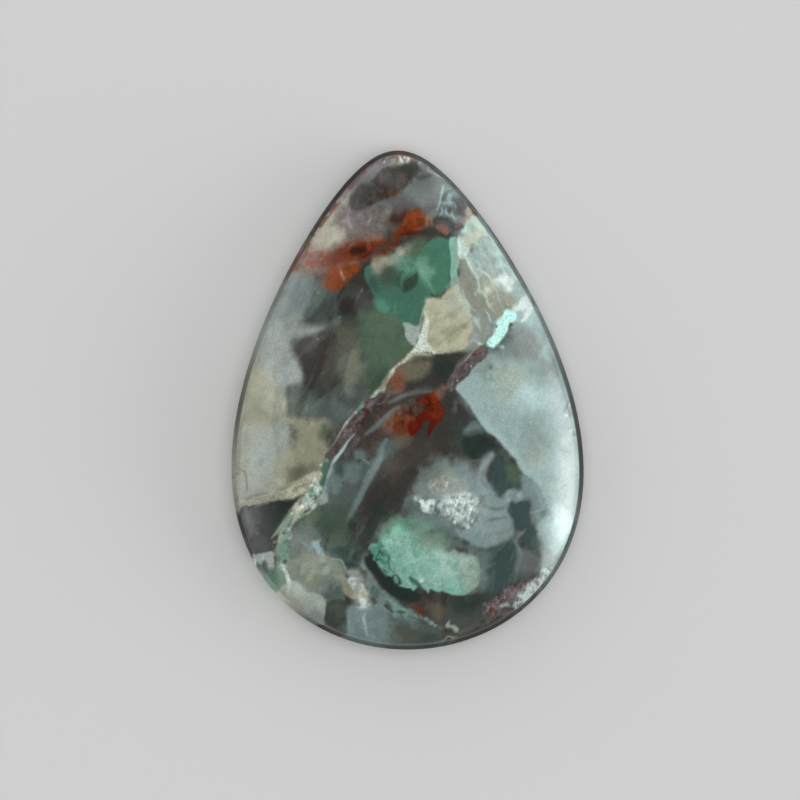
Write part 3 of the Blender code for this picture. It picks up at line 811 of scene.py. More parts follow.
def lay_wisps_under_tip(rock):
    rock.patch("blue_mist", 0.5, [
        (3, 15.2), (3.3, 16.4), (3.6, 17.2), (4.5, 17.3), (5.4, 16.4), (5.8, 15.4), (5.2, 14.6),
        (4.4, 14.2), (3.2, 14.4)])
    rock.patch("pale_blue", 0.7, [
        (3.5, 16), (3.6, 17), (4.2, 17.2), (4.9, 16.7), (4.9, 16), (4.2, 15.8)], 0.3)
    rock.growths("pale_blue", 0.3, [
        (3.2, 15.2), (3.6, 17.2), (4.4, 17.2), (5.6, 15.6), (4.6, 14.4),
        (3.4, 14.6)], 2.4, 0.2, 0.5, lean=0.1, stretch=4.0)
    rock.growths("smoke_brown", 0.3, [
        (3.2, 15.2), (3.6, 17.2), (4.4, 17.2), (5.6, 15.6), (4.6, 14.4),
        (3.4, 14.6)], 2.0, 0.25, 0.5, lean=0.8, stretch=1.6)
    rock.patch("smoke_brown", 0.3, [
        (4, 15.8), (4.6, 16), (5.3, 15.7), (5.2, 15), (4.8, 14.5), (4.4, 14.8),
        (4.4, 15.4)], 0.65, ragged=0.35)
    rock.patch("smoke_brown", 0.25, [
        (3.3, 15.3), (3.9, 15.4), (4.3, 15.2), (4.1, 14.8), (3.8, 15)], 0.6, ragged=0.2)
    rock.vein("pale_blue", 0.12, [
        (3.05, 15.05, 0.1), (3.25, 15.5, 0.12), (3.4, 16.1, 0.12), (3.6, 16.9, 0.15)], 0.8)
    rock.vein("pale_blue", 0.1, [
        (3.3, 15.55, 0.1), (3.9, 15.6, 0.12), (4.4, 15.55, 0.1), (4.6, 15.2, 0.08)], 0.8)
    rock.vein("pale_blue", 0.1, [(3.4, 15.3, 0.1), (3.5, 14.9, 0.12), (3.2, 14.6, 0.1)], 0.7)
    rock.vein("bone", 0.08, [
        (3.8, 15.2, 0.06), (3.75, 14.8, 0.1), (4, 14.6, 0.13), (4.3, 14.55, 0.15), (4.4, 14.3, 0.12),
        (4.75, 14.4, 0.06)], 0.85)
    rock.patch("plum", 0.2, [
        (2.6, 14.3), (3.1, 14.6), (3.9, 14.4), (4.4, 14.05), (5, 13.9), (5.1, 13.6), (4.6, 13.3),
        (4.2, 13.2), (3.9, 13.6), (3.3, 13.95), (2.7, 13.9)], 0.9, ragged=0.15)
    rock.patch("lavender", 0.4, [(3.1, 14.2), (3.7, 14.1), (4.2, 13.8), (3.7, 13.8), (3.2, 14)], 0.35)
    rock.patch("brick", 0.15, [
        (2.8, 13.75), (3.3, 13.9), (3.8, 13.7), (4, 13.3), (3.9, 13), (3.6, 12.95),
        (3.2, 13.3)], ragged=0.1)
    rock.vein("brick", 0.2, [(4.5, 13.7, 0.3), (5, 14, 0.3), (5.3, 14.4, 0.25), (5.9, 14.6, 0.12)], 0.6)
    rock.patch("sand", 0.12, [
        (5.35, 14.9), (5.5, 15.2), (5.8, 15.1), (5.85, 14.65), (5.6, 14.55), (5.4, 14.7)])
    rock.patch("orange", 0.2, [
        (5.7, 15.5), (6, 15.2), (6.5, 15), (6.3, 14.6), (5.9, 14.65), (5.8, 15.1)], ragged=0.15)
    rock.vein("plum", 0.1, [
        (4.2, 13.25, 0.05), (4.7, 13.35, 0.08), (5.1, 13.6, 0.08), (5.2, 14, 0.06),
        (5.6, 14.35, 0.04)], 0.7)


def lay_beige_and_white_vein(rock):
    rock.patch("sand", 0.3, [
        (1.9, 8.2), (3, 8.15), (3.9, 8.8), (4.5, 8.5), (4.8, 7.6), (5.1, 7), (5.4, 6.3), (5.5, 5.4),
        (5.1, 4.6), (4.9, 4), (4.2, 3.65), (3.2, 3.55), (2.5, 3.7), (1.7, 4.3), (1.4, 5.2), (1.5, 6),
        (1.55, 6.8), (1.7, 7.5)])
    rock.patch("milk", 0.7, [
        (2.2, 8.1), (3.4, 8.2), (4.5, 8.5), (4.9, 7.3), (4.6, 6.5), (3.9, 7.1), (3, 7.6)], 0.6)
    rock.patch("milk", 0.5, [
        (4.2, 8.5), (4.7, 8.4), (5.1, 7), (5.6, 5.6), (5.1, 5.8), (4.7, 6.8), (4.2, 7.8)], 0.5)
    rock.vein("cream", 0.25, [(4.35, 8.8, 0.4), (4.6, 8, 0.55), (5, 7.2, 0.55), (5.4, 6.6, 0.3)], 0.75)
    rock.vein("bone", 0.12, [(4.8, 8.6, 0.06), (5, 7.9, 0.1), (5.4, 7.2, 0.12), (5.8, 6.9, 0.06)], 0.6)
    rock.patch("tan", 0.4, [
        (2, 4.6), (2.6, 4.9), (3, 5.6), (3.9, 6), (4.9, 5.9), (4.9, 5.4), (4.3, 4.8), (3.7, 4.3),
        (3.2, 4.6), (2.8, 4.2)], 0.75)
    rock.patch("tan", 0.2, [(4, 5.3), (4.5, 5.8), (4.95, 5.9), (4.9, 5.5), (4.3, 5)], 0.6)
    rock.patch("sand", 0.5, [(2.6, 5.2), (3.1, 5.2), (3.3, 4.7), (2.9, 4.4), (2.6, 4.7)], 0.8)
    rock.patch("smoky", 0.6, [
        (2.4, 3.6), (3.4, 3.5), (4.4, 3.6), (5, 3.4), (4.5, 2.6), (3.6, 2.2), (2.4, 2.9)])
    rock.patch("black_green", 0.8, [(2.4, 3), (3.2, 3.2), (3.8, 2.6), (3.4, 1.8), (2.6, 1.8)], 0.8)
    rock.vein("umber", 0.1, [
        (2.6, 4.1, 0.04), (3.6, 4.95, 0.06), (4.8, 5.75, 0.06), (5.5, 6.3, 0.05), (6, 7, 0.04)], 0.55)
    rock.growths("sand", 0.3, [
        (2.1, 8.1), (3.9, 8.6), (5.1, 7), (5.4, 5.4), (4.2, 3.8), (2.7, 3.9),
        (1.9, 5.4)], 1.3, 0.3, 0.25, lean=-0.5, stretch=1.6)
    rock.growths("glow", 0.3, [
        (2.1, 8.1), (3.9, 8.6), (5.1, 7), (5.4, 5.4), (4.2, 3.8), (2.7, 3.9),
        (1.9, 5.4)], 1.6, 0.2, 0.2, lean=0.8, stretch=2.0)
    rock.vein("crackle", 0.1, [
        (1.72, 7.1, 0.15), (1.95, 6.4, 0.3), (1.8, 5.6, 0.5), (1.5, 4.9, 0.5),
        (1.35, 4.3, 0.5)], ragged=0.12)
    rock.vein("milk", 0.12, [(1.75, 7.2, 0.08), (1.5, 6.4, 0.15), (1.35, 5.7, 0.12), (1.15, 5, 0.1)], 0.7)
    rock.patch("crackle", 0.1, [
        (0.9, 4.2), (1.2, 4.5), (1.8, 4.6), (2.2, 4.1), (2.7, 3.8), (3.2, 3.6), (2.6, 3.5), (1.9, 3.65),
        (1.2, 3.75), (0.6, 3.5), (0.1, 3.1), (0.4, 3.7)], ragged=0.12)
    rock.specks("bone", 0.12, [(1.35, 4.6, 0.16), (1.45, 4.2, 0.14), (2, 6.1, 0.1), (1.6, 5.1, 0.1)], 0.8)


def lay_heart(rock):
    """The dark middle with its red cloud, and the wisps that cross it."""
    rock.patch("umber", 0.8, [
        (-0.8, 2.4), (0.2, 3), (1.6, 3.25), (2.3, 3), (2.2, 2.3), (1.6, 1.7), (0.6, 1.4), (-0.2, 1.8)])
    rock.patch("brick", 0.6, [
        (-1.3, 1.5), (-0.7, 2.4), (0, 2.2), (0.1, 1.4), (-0.2, 0.7), (-0.8, 0.5),
        (-1.4, 0.8)], 0.65, ragged=0.25)
    rock.patch("orange", 0.6, [
        (-1.1, 1.4), (-0.6, 2), (-0.1, 1.8), (-0.1, 1.2), (-0.6, 0.9)], 0.4, ragged=0.25)
    rock.patch("smoky", 0.8, [
        (0.2, 1.2), (1.2, 1.3), (2, 2.1), (2.6, 3.1), (3.4, 3.4), (4.2, 3.2), (4.3, 2.6), (3.9, 1.8),
        (3.2, 1.1), (2, 0.9), (1, 0.7)])
    rock.patch("bark", 0.9, [
        (-2, -0.6), (-1, -0.4), (0.4, -0.1), (1, 0), (0.8, -1), (0.2, -2), (-0.8, -2.6), (-1.8, -2.7),
        (-2.6, -2.2), (-1.8, -1.4)], 0.9, ragged=0.4)
    rock.patch("bark", 0.8, [
        (-3.6, -2.4), (-2.4, -2.2), (-1.6, -2.6), (-2.2, -3.2), (-2.8, -4.4), (-3.6, -3.6),
        (-4.2, -3.2)], 0.8, ragged=0.4)
    rock.patch("rust", 0.9, [
        (-1.2, -2), (-0.4, -1.2), (0.4, -0.9), (1, -1.2), (0.4, -2), (0, -2.7),
        (-0.9, -2.8)], 0.65, ragged=0.35)
    rock.growths("brick", 0.7, [
        (-1.6, -0.4), (0.2, 0.1), (1, -0.2), (0.6, -1.4), (-0.4, -2.2), (-1.6, -2.4),
        (-2.2, -1.6)], 1.6, 0.4, 0.6)
    rock.growths("maroon", 0.4, [
        (-0.6, -0.4), (0.6, 0), (1.4, -0.2), (1.4, -1.2), (0.8, -1.6), (-0.4, -1.8)], 2.0, 0.5, 0.8)
    rock.patch("blood", 0.25, [
        (0.8, -0.3), (1.2, 0.15), (1.8, 0.45), (2.4, 0.6), (2.65, 0.3), (2.6, -0.3), (2.9, -0.7),
        (2.9, -1.4), (2.6, -1.95), (2.2, -2.4), (1.8, -2.95), (1.65, -2.7), (1.8, -2.2), (1.75, -1.8),
        (1.5, -1.85), (1.25, -2.2), (0.9, -2.6), (0.5, -2.9), (0.1, -2.7), (-0.05, -2.2), (0, -1.8),
        (0.6, -1.5), (0.9, -1.1), (0.8, -0.7)], ragged=0.16)
    rock.patch("ember", 0.3, [
        (1.9, 0.3), (2.45, 0.5), (2.55, -0.2), (2.85, -0.8), (2.8, -1.4), (2.4, -1.9), (2.1, -1.6),
        (2.2, -0.8), (2, -0.2)], 0.75, ragged=0.2)
    rock.growths("ember", 0.25, [
        (0.9, -0.3), (1.8, 0.4), (2.6, 0.2), (2.9, -1), (2.2, -2.2), (1.9, -1.4),
        (1, -1.2)], 1.5, 0.45, 0.7)
    rock.growths("maroon", 0.25, [
        (0.9, -0.3), (1.6, 0.3), (2.1, 0.1), (2, -1), (1.4, -1.3), (0.8, -1)], 2.6, 0.25, 0.8)
    rock.patch("bark", 0.5, [
        (0.7, -0.3), (1.3, -0.1), (1.6, -0.6), (1.4, -1.1), (0.8, -1.3), (0.4, -0.9)], 0.75, ragged=0.25)
    rock.growths("orange", 0.4, [
        (-1, -1.6), (0.2, -1.2), (1, -1.6), (0.5, -2.8), (-0.4, -2.9), (-1, -2.6)], 2.0, 0.45, 0.6)
    rock.growths("brick", 0.4, [
        (-1.4, -0.6), (0.4, -0.2), (0.8, -1.2), (-0.4, -1.8), (-1.4, -1.6)], 2.2, 0.4, 0.3)
    rock.growths("ember", 0.25, [
        (-0.1, -2), (0.7, -1.5), (0.9, -2.2), (0.4, -2.9), (0, -2.6)], 1.5, 0.35, 0.5)
    rock.patch("blood", 0.3, [(0.1, -2), (0.5, -1.7), (0.9, -2), (0.8, -2.5), (0.3, -2.6)], 0.7)
    rock.patch("black_green", 0.8, [(2.3, 2.8), (3.2, 3), (3.7, 2.4), (3.2, 1.8), (2.5, 1.9)], 0.8)
    rock.specks("maroon", 0.15, [
        (1.7, 0.05, 0.07), (1.9, 0.07, 0.06), (1.75, -0.85, 0.08), (0.4, -0.95, 0.1)])
    rock.patch("brick", 0.5, [(2.4, 0.6), (2.9, 1), (3.3, 0.9), (3.1, 0.5), (2.7, 0.1)], 0.7, ragged=0.15)
    rock.vein("ash", 0.3, [
        (-2.7, -0.25, 0.12), (-1.9, -0.2, 0.25), (-1.1, -0.05, 0.25), (-0.4, 0.25, 0.3), (0.4, 0.5, 0.35),
        (1.2, 0.6, 0.35), (2.1, 0.6, 0.15)], 0.95)
    rock.vein("slate", 0.5, [(0.9, 0.8, 0.3), (1.6, 0.8, 0.3), (2.2, 0.75, 0.1)], 0.6)
    rock.vein("blue_mist", 0.35, [
        (-3.2, -2.6, 0.2), (-2.4, -2, 0.4), (-1.7, -1.4, 0.35), (-1, -0.8, 0.2), (-0.4, -0.5, 0.1)], 0.85)
    rock.vein("ash", 0.3, [(-1.4, -2.9, 0.1), (-1.3, -2.2, 0.25), (-1.2, -1.6, 0.15)], 0.4)
    rock.patch("umber", 0.8, [
        (-0.9, -2.8), (-0.2, -2.8), (0.3, -3), (-0.2, -3.4), (-0.7, -3.6), (-1, -3.2)], 0.6)


def lay_haze(rock):
    """Thin wisps and depths in the clear stone, which run up and to the right."""
    left = [(-9, 9), (-6, 10), (-2, 8), (0, 5.6), (-1, 2.4), (-4, -1), (-8, -1), (-9.4, 3)]
    rock.growths("mist", 1.2, left, 0.9, 0.35, 0.30, lean=0.5, stretch=2.6)
    rock.growths("smoky", 1.2, left, 0.7, 0.30, 0.40, lean=0.3, stretch=2.0)
    rock.growths("fog", 1.0, left, 2.2, 0.2, 0.18, lean=0.6, stretch=4.0)
    middle = [
        (-6, -5), (-2, -3), (2, -3), (6, -3), (8, -5), (9, -9), (8, -14), (4, -17), (-2, -16), (-5, -11)]
    rock.growths("slate", 1.4, middle, 0.8, 0.35, 0.35, lean=0.5, stretch=2.2)
    rock.growths("black_green", 1.4, middle, 0.9, 0.3, 0.35, lean=0.3, stretch=1.8)
    rock.growths("mist", 1.2, middle, 2.0, 0.22, 0.22, lean=0.6, stretch=3.5)
    low = [(-9, -8), (-4, -8), (-3, -13), (-5, -18), (-9, -17), (-11, -12)]
    rock.growths("tan", 1.2, low, 0.9, 0.25, 0.3, lean=0.6, stretch=1.5)
    rock.growths("slate", 1.2, low, 1.1, 0.3, 0.35, lean=0.6, stretch=1.5)
    right = [(5, 2), (8, 5), (12, 6), (13.6, -2), (12, -9), (9, -6), (6, -2.4)]
    rock.growths("pale_blue", 1.2, right, 0.8, 0.3, 0.45, lean=0.8, stretch=2.5)
    rock.growths("slate", 1.4, right, 0.7, 0.2, 0.22, lean=0.8, stretch=2.0)
    rock.growths("butter", 1.4, right, 0.6, 0.25, 0.3, lean=0.8, stretch=1.8)
    edge = [(-13.6, 1), (-11, 7), (-9, 6), (-8.6, 1), (-9, -4), (-11, -7), (-14, -7)]
    rock.growths("butter", 1.2, edge, 0.7, 0.3, 0.3, lean=0.1, stretch=2.0)
    rock.patch("sand", 1.2, [
        (-12.2, 1), (-11.2, 1.6), (-10.2, 1), (-9.8, 0.2), (-10.2, -0.6), (-11.4, -0.6)], 0.7)
    rock.patch("cream", 1.0, [(-11.2, 0.8), (-10.4, 0.9), (-9.9, 0.2), (-10.2, -0.5), (-11.2, -0.4)], 0.7)
    rock.growths("mist", 1.2, edge, 0.9, 0.3, 0.3, lean=0.1, stretch=2.4)


def lay_main_veins(rock):
    # The cream upper edge, from the white junction down to the left
    rock.vein("fibre", 0.1, [
        (0.6, 3.7, 0.25), (0, 3.1, 0.25), (-0.6, 2.7, 0.2), (-1, 2.2, 0.35), (-1.4, 1.7, 0.4),
        (-1.8, 1.1, 0.3), (-2.2, 0.7, 0.25), (-2.7, 0.25, 0.2)], ragged=0.08)
    rock.vein("cream", 0.07, [(0, 3.05, 0.08), (0.7, 3.22, 0.06), (1.6, 3.42, 0.06), (2.4, 3.3, 0.04)], 0.7)
    rock.vein("umber", 0.15, [(-1.3, 2.05, 0.06), (-1.5, 1.6, 0.12), (-1.8, 1.2, 0.06)], 0.6)
    rock.vein("bone", 0.08, [(-0.85, 2.35, 0.12), (-1.0, 2.2, 0.14), (-1.1, 2.1, 0.06)], 0.8)
    rock.vein("bone", 0.08, [(-1.5, 1.1, 0.05), (-1.7, 0.85, 0.16), (-1.8, 0.8, 0.08)], 0.8)
    rock.vein("ice", 0.08, [(-2, 0.85, 0.08), (-2.25, 0.65, 0.16), (-2.5, 0.3, 0.14)], 0.85)
    rock.specks("turquoise", 0.08, [(-0.9, 2.4, 0.06), (-2.25, 0.68, 0.07)], 0.8)
    # The speckled maroon band below it, between its two pale lines
    rock.patch("mauve", 0.14, [
        (-2.6, 0.2), (-1.9, 0.5), (-1.1, 0.6), (-1.5, 0), (-2.3, -0.2), (-2.7, -0.6), (-2.9, -1.2),
        (-3.4, -1.8), (-4, -2.5), (-4.6, -3.1), (-5.2, -3.9), (-5.9, -4.7), (-6.3, -4.5), (-6.5, -4.2),
        (-6, -3.5), (-5.4, -2.6), (-4.8, -1.8), (-4.2, -1), (-3.6, -0.4), (-3.2, 0.1)], ragged=0.08)
    rock.patch("mauve", 0.25, [
        (-5.2, -4.2), (-4.6, -3.4), (-4, -2.8), (-3.6, -2.9), (-4, -3.6), (-4.6, -4.4),
        (-5, -4.7)], 0.85, ragged=0.15)
    rock.growths("bark", 0.15, [
        (-2.6, 0.2), (-1.1, 0.6), (-1.6, 0), (-2.7, -0.6), (-3.6, -2), (-5, -3.9), (-6.2, -4.4),
        (-5.2, -2.6), (-3.8, -0.7)], 2.5, 0.35, 0.75)
    rock.growths("lavender", 0.15, [
        (-2.6, 0.2), (-1.1, 0.6), (-1.6, 0), (-2.7, -0.6), (-3.6, -2), (-5, -3.9), (-6.2, -4.4),
        (-5.2, -2.6), (-3.8, -0.7)], 2.5, 0.2, 0.5, lean=0.7, stretch=2.0)
    rock.growths("maroon", 0.3, [
        (-2, 0.2), (-1.2, 0.5), (-1.2, -0.2), (-2.6, -1), (-3.4, -2), (-4, -2),
        (-3.2, -0.8)], 2.0, 0.35, 0.6)
    rock.vein("blood", 0.25, [(-3.4, -0.6, 0.15), (-3, -0.8, 0.2), (-2.8, -1.3, 0.1)], 0.45, ragged=0.15)
    rock.vein("smoky", 0.2, [(-2.6, -0.45, 0.15), (-2, -0.4, 0.2), (-1.4, -0.2, 0.1)], 0.8)
    rock.vein("smoky", 0.2, [
        (-3.8, -2.2, 0.1), (-3.2, -1.6, 0.25), (-2.8, -1, 0.2), (-2.4, -0.8, 0.1)], 0.7)
    rock.vein("lavender", 0.1, [(-3, -0.45, 0.05), (-2.7, -0.2, 0.1), (-2.4, -0.05, 0.05)], 0.7)
    rock.vein("lavender", 0.15, [(-4.3, -2, 0.06), (-3.8, -1.5, 0.1), (-3.4, -1.2, 0.06)], 0.4)
    rock.vein("cream", 0.08, [
        (-3.3, 0.05, 0.05), (-4.2, -1.05, 0.08), (-4.5, -1.4, 0.16), (-4.8, -1.8, 0.2), (-5.3, -2.5, 0.1),
        (-6.1, -3.6, 0.04)], 0.85, ragged=0.05)
    rock.vein("sea_green", 0.08, [
        (-3.3, -0.15, 0.1), (-3.45, -0.4, 0.2), (-3.75, -0.62, 0.16), (-4, -0.85, 0.12)])
    rock.specks("mint", 0.08, [(-3.45, -0.35, 0.1), (-3.6, -0.5, 0.06)], 0.9)
    rock.specks("ice", 0.08, [(-3.95, -0.82, 0.1), (-4.65, -1.65, 0.08)], 0.8)
    rock.vein("pale_blue", 0.1, [
        (-4.15, -2.6, 0.06), (-4.7, -3.2, 0.16), (-5.2, -3.9, 0.26), (-5.6, -4.4, 0.3),
        (-6, -4.9, 0.16)], 0.95, ragged=0.05)
    # The second speckled band, from the red cloud up to the turquoise
    rock.patch("mauve", 0.14, [
        (6.4, 4.1), (6.75, 3.8), (6.65, 3.35), (6.2, 3), (5.7, 2.7), (5.2, 2.3), (4.9, 1.8), (4.4, 1.3),
        (4, 0.9), (3.7, 0.6), (3.3, 0.9), (3.4, 1.4), (3.9, 2), (4.2, 2.6), (4.7, 3), (5.2, 3.3),
        (5.6, 3.7), (6, 4)], ragged=0.1)
    rock.growths("bark", 0.15, [
        (6.4, 4.1), (6.75, 3.8), (6.2, 3), (5.2, 2.3), (4.4, 1.3), (3.7, 0.6), (3.3, 0.9), (3.9, 2),
        (4.7, 3), (5.6, 3.7)], 2.5, 0.4, 0.6)
    rock.growths("lavender", 0.15, [
        (6.4, 4.1), (6.75, 3.8), (6.2, 3), (5.2, 2.3), (4.4, 1.3), (3.7, 0.6), (3.3, 0.9), (3.9, 2),
        (4.7, 3), (5.6, 3.7)], 3.5, 0.2, 0.5)
    rock.vein("brick", 0.3, [(5.8, 3.6, 0.2), (6.1, 3.75, 0.3), (6.4, 3.6, 0.15)], 0.5)
    rock.vein("cream", 0.08, [(4.3, 2.5, 0.03), (4.9, 3, 0.09), (5.4, 3.55, 0.12), (6.1, 4.15, 0.05)], 0.7)
    rock.patch("ash", 0.2, [(4.3, 2.9), (4.9, 3.4), (5.3, 3.7), (4.9, 3.1), (4.4, 2.6)], 0.6)
    rock.specks("smoky", 0.1, [
        (4.5, 2.4, 0.08), (4.1, 1.5, 0.12), (4.0, 1.2, 0.12), (4.6, 1.6, 0.1), (5.2, 2.5, 0.06)], 0.8)
    rock.specks("bone", 0.06, [(4.18, 1.42, 0.06), (5.3, 2.5, 0.05)], 0.9)
    rock.vein("fibre", 0.15, [
        (-0.1, 3.1, 0.12), (0.7, 3.5, 0.22), (1.4, 3.62, 0.3), (2.3, 3.5, 0.15)], 0.85)
    rock.vein("umber", 0.2, [(0.3, 3, 0.15), (1.1, 3.3, 0.2), (2, 3.3, 0.15)], 0.5)
    # Turquoise, with the white wedge that carries on from it to the edge
    rock.patch("ice", 0.3, [(8.7, 7.1), (9.3, 7.2), (9.7, 6.6), (9.6, 6.1), (9, 6)], 0.6)
    rock.patch("bone", 0.12, [
        (8.7, 6.95), (9.2, 7.2), (9.5, 7.7), (9.9, 8.1), (10.4, 8.5), (10.9, 7.6), (11.3, 7), (10.6, 7),
        (10.2, 6.5), (9.8, 6.1), (9.4, 5.85), (9.8, 6.5), (9.9, 6.9), (9.4, 6.9)], ragged=0.06)
    rock.patch("milk_blue", 0.2, [(9.05, 6.6), (9.5, 6.7), (9.6, 6.3), (9.3, 6.05), (9.05, 6.2)], 0.8)
    rock.patch("turquoise", 0.06, [
        (8.3, 6.95), (8.75, 6.85), (9.05, 6.5), (8.9, 6), (8.6, 5.75), (8.35, 5.3), (8.05, 4.85),
        (7.7, 4.35), (7.2, 3.95), (6.8, 3.95), (6.55, 4.25), (6.7, 4.55), (7.05, 4.85), (7.2, 5.3),
        (7.35, 5.7), (7.65, 6.05), (8, 6.5)], ragged=0.09)
    rock.vein("sea_green", 0.1, [(6.75, 4.05, 0.05), (6.8, 3.75, 0.14), (6.85, 3.45, 0.06)], 0.9)
    rock.vein("sea_green", 0.08, [(7.2, 3.95, 0.03), (7.6, 4.3, 0.07), (7.95, 4.8, 0.05)], 0.8)
    rock.vein("ice", 0.12, [(7.3, 5.9, 0.12), (7.6, 6.1, 0.16), (7.95, 6.4, 0.1)], 0.8)
    rock.specks("pocket", 0.08, [(8.55, 5.68, 0.15), (8.4, 5.5, 0.06), (7.45, 5.62, 0.08)])
    rock.specks("deep_teal", 0.15, [(7.95, 4.5, 0.16), (7.8, 4.3, 0.1), (8.3, 4.75, 0.1)], 0.6)
    rock.vein("lavender", 0.15, [(7.05, 4.9, 0.1), (7.3, 5.4, 0.2), (7.3, 5.7, 0.1)], 0.6)
    rock.specks("ice", 0.12, [(7.85, 3.95, 0.16), (7.6, 4, 0.08)], 0.7)


def lay_fibrous_branches(rock):
    rock.vein("emerald", 0.12, [
        (-6.4, -4.4, 0.2), (-6.6, -5.1, 0.35), (-6.75, -5.8, 0.35), (-6.9, -6.6, 0.25), (-7, -7.4, 0.2)])
    rock.specks("jade", 0.1, [(-6.4, -4.55, 0.16)], 0.8)
    rock.specks("bone", 0.08, [(-6.88, -4.9, 0.1)], 0.9)
    rock.vein("blue_mist", 0.25, [
        (-5.9, -5, 0.3), (-6.1, -5.6, 0.45), (-6.3, -6.4, 0.5), (-6.6, -7.2, 0.5), (-6.9, -7.9, 0.4)])
    rock.vein("milk_blue", 0.15, [
        (-6, -4.9, 0.2), (-6.15, -5.4, 0.3), (-6.4, -6, 0.15), (-6.6, -6.8, 0.12), (-6.9, -7.5, 0.1)], 0.7)
    rock.patch("fog", 0.15, [(-6.9, -7.2), (-6.5, -7.2), (-6.35, -7.7), (-6.6, -8), (-7.1, -7.95)], 0.7)
    rock.patch("pocket", 0.35, [
        (-14.2, -8.4), (-12.8, -7.9), (-11.2, -7.8), (-10.5, -7.45), (-9.7, -7.4), (-8.7, -7.8),
        (-9.1, -8.6), (-10, -9.4), (-10.8, -10.4), (-11.6, -11.4), (-12.3, -12), (-13.4, -12.4)])
    rock.patch("ash", 0.9, [
        (-13.4, -8.3), (-12.6, -8.2), (-12.2, -9), (-12.2, -10.2), (-12.8, -10.8), (-13.2, -9.8)], 0.95)
    rock.patch("mist", 0.7, [(-13.2, -8.4), (-12.7, -8.4), (-12.5, -9.3), (-12.9, -9.4)], 0.6)
    rock.patch("ash", 1.0, [(-12.9, -11.2), (-12, -10.6), (-11.4, -11), (-11.8, -11.8), (-12.6, -12)], 0.5)
    rock.specks("mist", 0.2, [(-12.15, -10.25, 0.12), (-10.75, -8.2, 0.08)], 0.6)
    rock.vein("fibre", 0.14, [
        (-7.1, -5.7, 0.7), (-7.7, -6.1, 1.1), (-8.6, -6.7, 1.1), (-9.6, -7.1, 0.7), (-10.8, -7.35, 0.65),
        (-12, -7.6, 0.6), (-13.2, -7.8, 0.6), (-14.4, -8.2, 0.7)], ragged=0.15)
    rock.vein("lattice", 0.18, [
        (-7.1, -6.8, 0.6), (-7.8, -7.4, 1.0), (-8.6, -8.2, 1.05), (-9.3, -9, 0.9), (-9.8, -9.8, 0.85),
        (-10, -10.8, 0.9), (-10.15, -11.8, 0.95), (-10.25, -12.9, 0.8)], 0.9, ragged=0.24)
    rock.vein("fibre", 0.15, [
        (-7.3, -6.6, 0.2), (-8.2, -7.9, 0.25), (-9, -8.6, 0.3), (-9.7, -9.4, 0.25), (-10.3, -9.9, 0.2),
        (-11, -10.6, 0.08)], 0.9)
    rock.vein("fibre", 0.12, [(-8, -8.7, 0.1), (-8.7, -9, 0.2), (-9.3, -9.5, 0.12)], 0.7)
    rock.vein("fibre", 0.15, [(-9.9, -9.8, 0.1), (-10.3, -10.3, 0.15), (-10.4, -11, 0.1)], 0.8)
    rock.vein("milk", 0.15, [(-9.5, -9.8, 0.2), (-9.6, -10.6, 0.4), (-9.7, -11.3, 0.2)], 0.6)
    rock.vein("sea_green", 0.12, [
        (-7.35, -6.75, 0.1), (-7.65, -7.1, 0.3), (-8, -7.5, 0.26), (-8.3, -7.9, 0.16)])
    rock.vein("emerald", 0.1, [(-7.7, -7.25, 0.12), (-7.95, -7.5, 0.16)], 0.8)
    rock.specks("emerald", 0.1, [
        (-7, -7.1, 0.12), (-7.15, -7.5, 0.1), (-10.9, -11.3, 0.1), (-10.5, -12.1, 0.08),
        (-10.3, -12.6, 0.08)], 0.7)
    left = [
        (-7, -5.5), (-7.8, -5.5), (-9, -6.1), (-10.5, -6.8), (-12.5, -7.1), (-14.4, -7.4), (-14.4, -8.6),
        (-12, -8), (-10, -7.6), (-8.4, -7.5), (-7.2, -6.8)]
    down = [
        (-6.9, -6.3), (-7.6, -6.7), (-8.6, -7.5), (-9.4, -8.3), (-10.3, -9.5), (-10.9, -10.8), (-11, -12.8),
        (-10, -12.9), (-9.5, -11.4), (-9.3, -10), (-8.2, -8.9), (-7, -7.8)]
    rock.growths("umber", 0.2, left, 2.6, 0.25, 0.35, lean=1.2, stretch=2.5)
    rock.growths("cream", 0.2, left, 2.8, 0.25, 0.5, lean=1.2, stretch=2.5)
    rock.growths("cream", 0.2, down, 2.4, 0.3, 0.4, lean=0.6, stretch=2.5)
    rock.growths("pocket", 0.2, down, 2.6, 0.16, 0.35, lean=0.5, stretch=2.2)
    rock.growths("leaf", 0.2, down, 2.0, 0.3, 0.5, lean=0.6, stretch=2.0)
    rock.growths("bone", 0.2, down, 3.0, 0.08, 0.5, lean=0.5, stretch=2.0)
    rock.patch("sea_green", 0.5, [
        (-10.4, -10.8), (-9.8, -10.8), (-9.7, -12), (-10, -13), (-10.5, -12.6)], 0.4, ragged=0.2)
    rock.growths("bone", 0.15, [
        (-7, -5.8), (-8.2, -5.6), (-8.6, -6.6), (-8, -7.6), (-7.2, -7.2)], 3.2, 0.22, 0.6)
    rock.specks("bone", 0.1, [
        (-7.4, -6.1, 0.1), (-7.2, -6.25, 0.08), (-7.7, -6.5, 0.1), (-7.45, -6.65, 0.08), (-8, -5.8, 0.08),
        (-8.5, -8.2, 0.1), (-9.3, -8.75, 0.1), (-8.2, -6.6, 0.08), (-8.2, -7.9, 0.08)], 0.8)
    rock.vein("umber", 0.1, [(-8.4, -6.3, 0.05), (-8.1, -6.75, 0.1), (-7.8, -6.9, 0.05)], 0.5)
    rock.vein("umber", 0.1, [(-12.2, -7.5, 0.04), (-11.3, -7.3, 0.08), (-10.6, -7.3, 0.04)], 0.5)
    rock.specks("deep_teal", 0.12, [(-10, -10.25, 0.12), (-10, -12.55, 0.17), (-9.6, -9.7, 0.08)], 0.8)
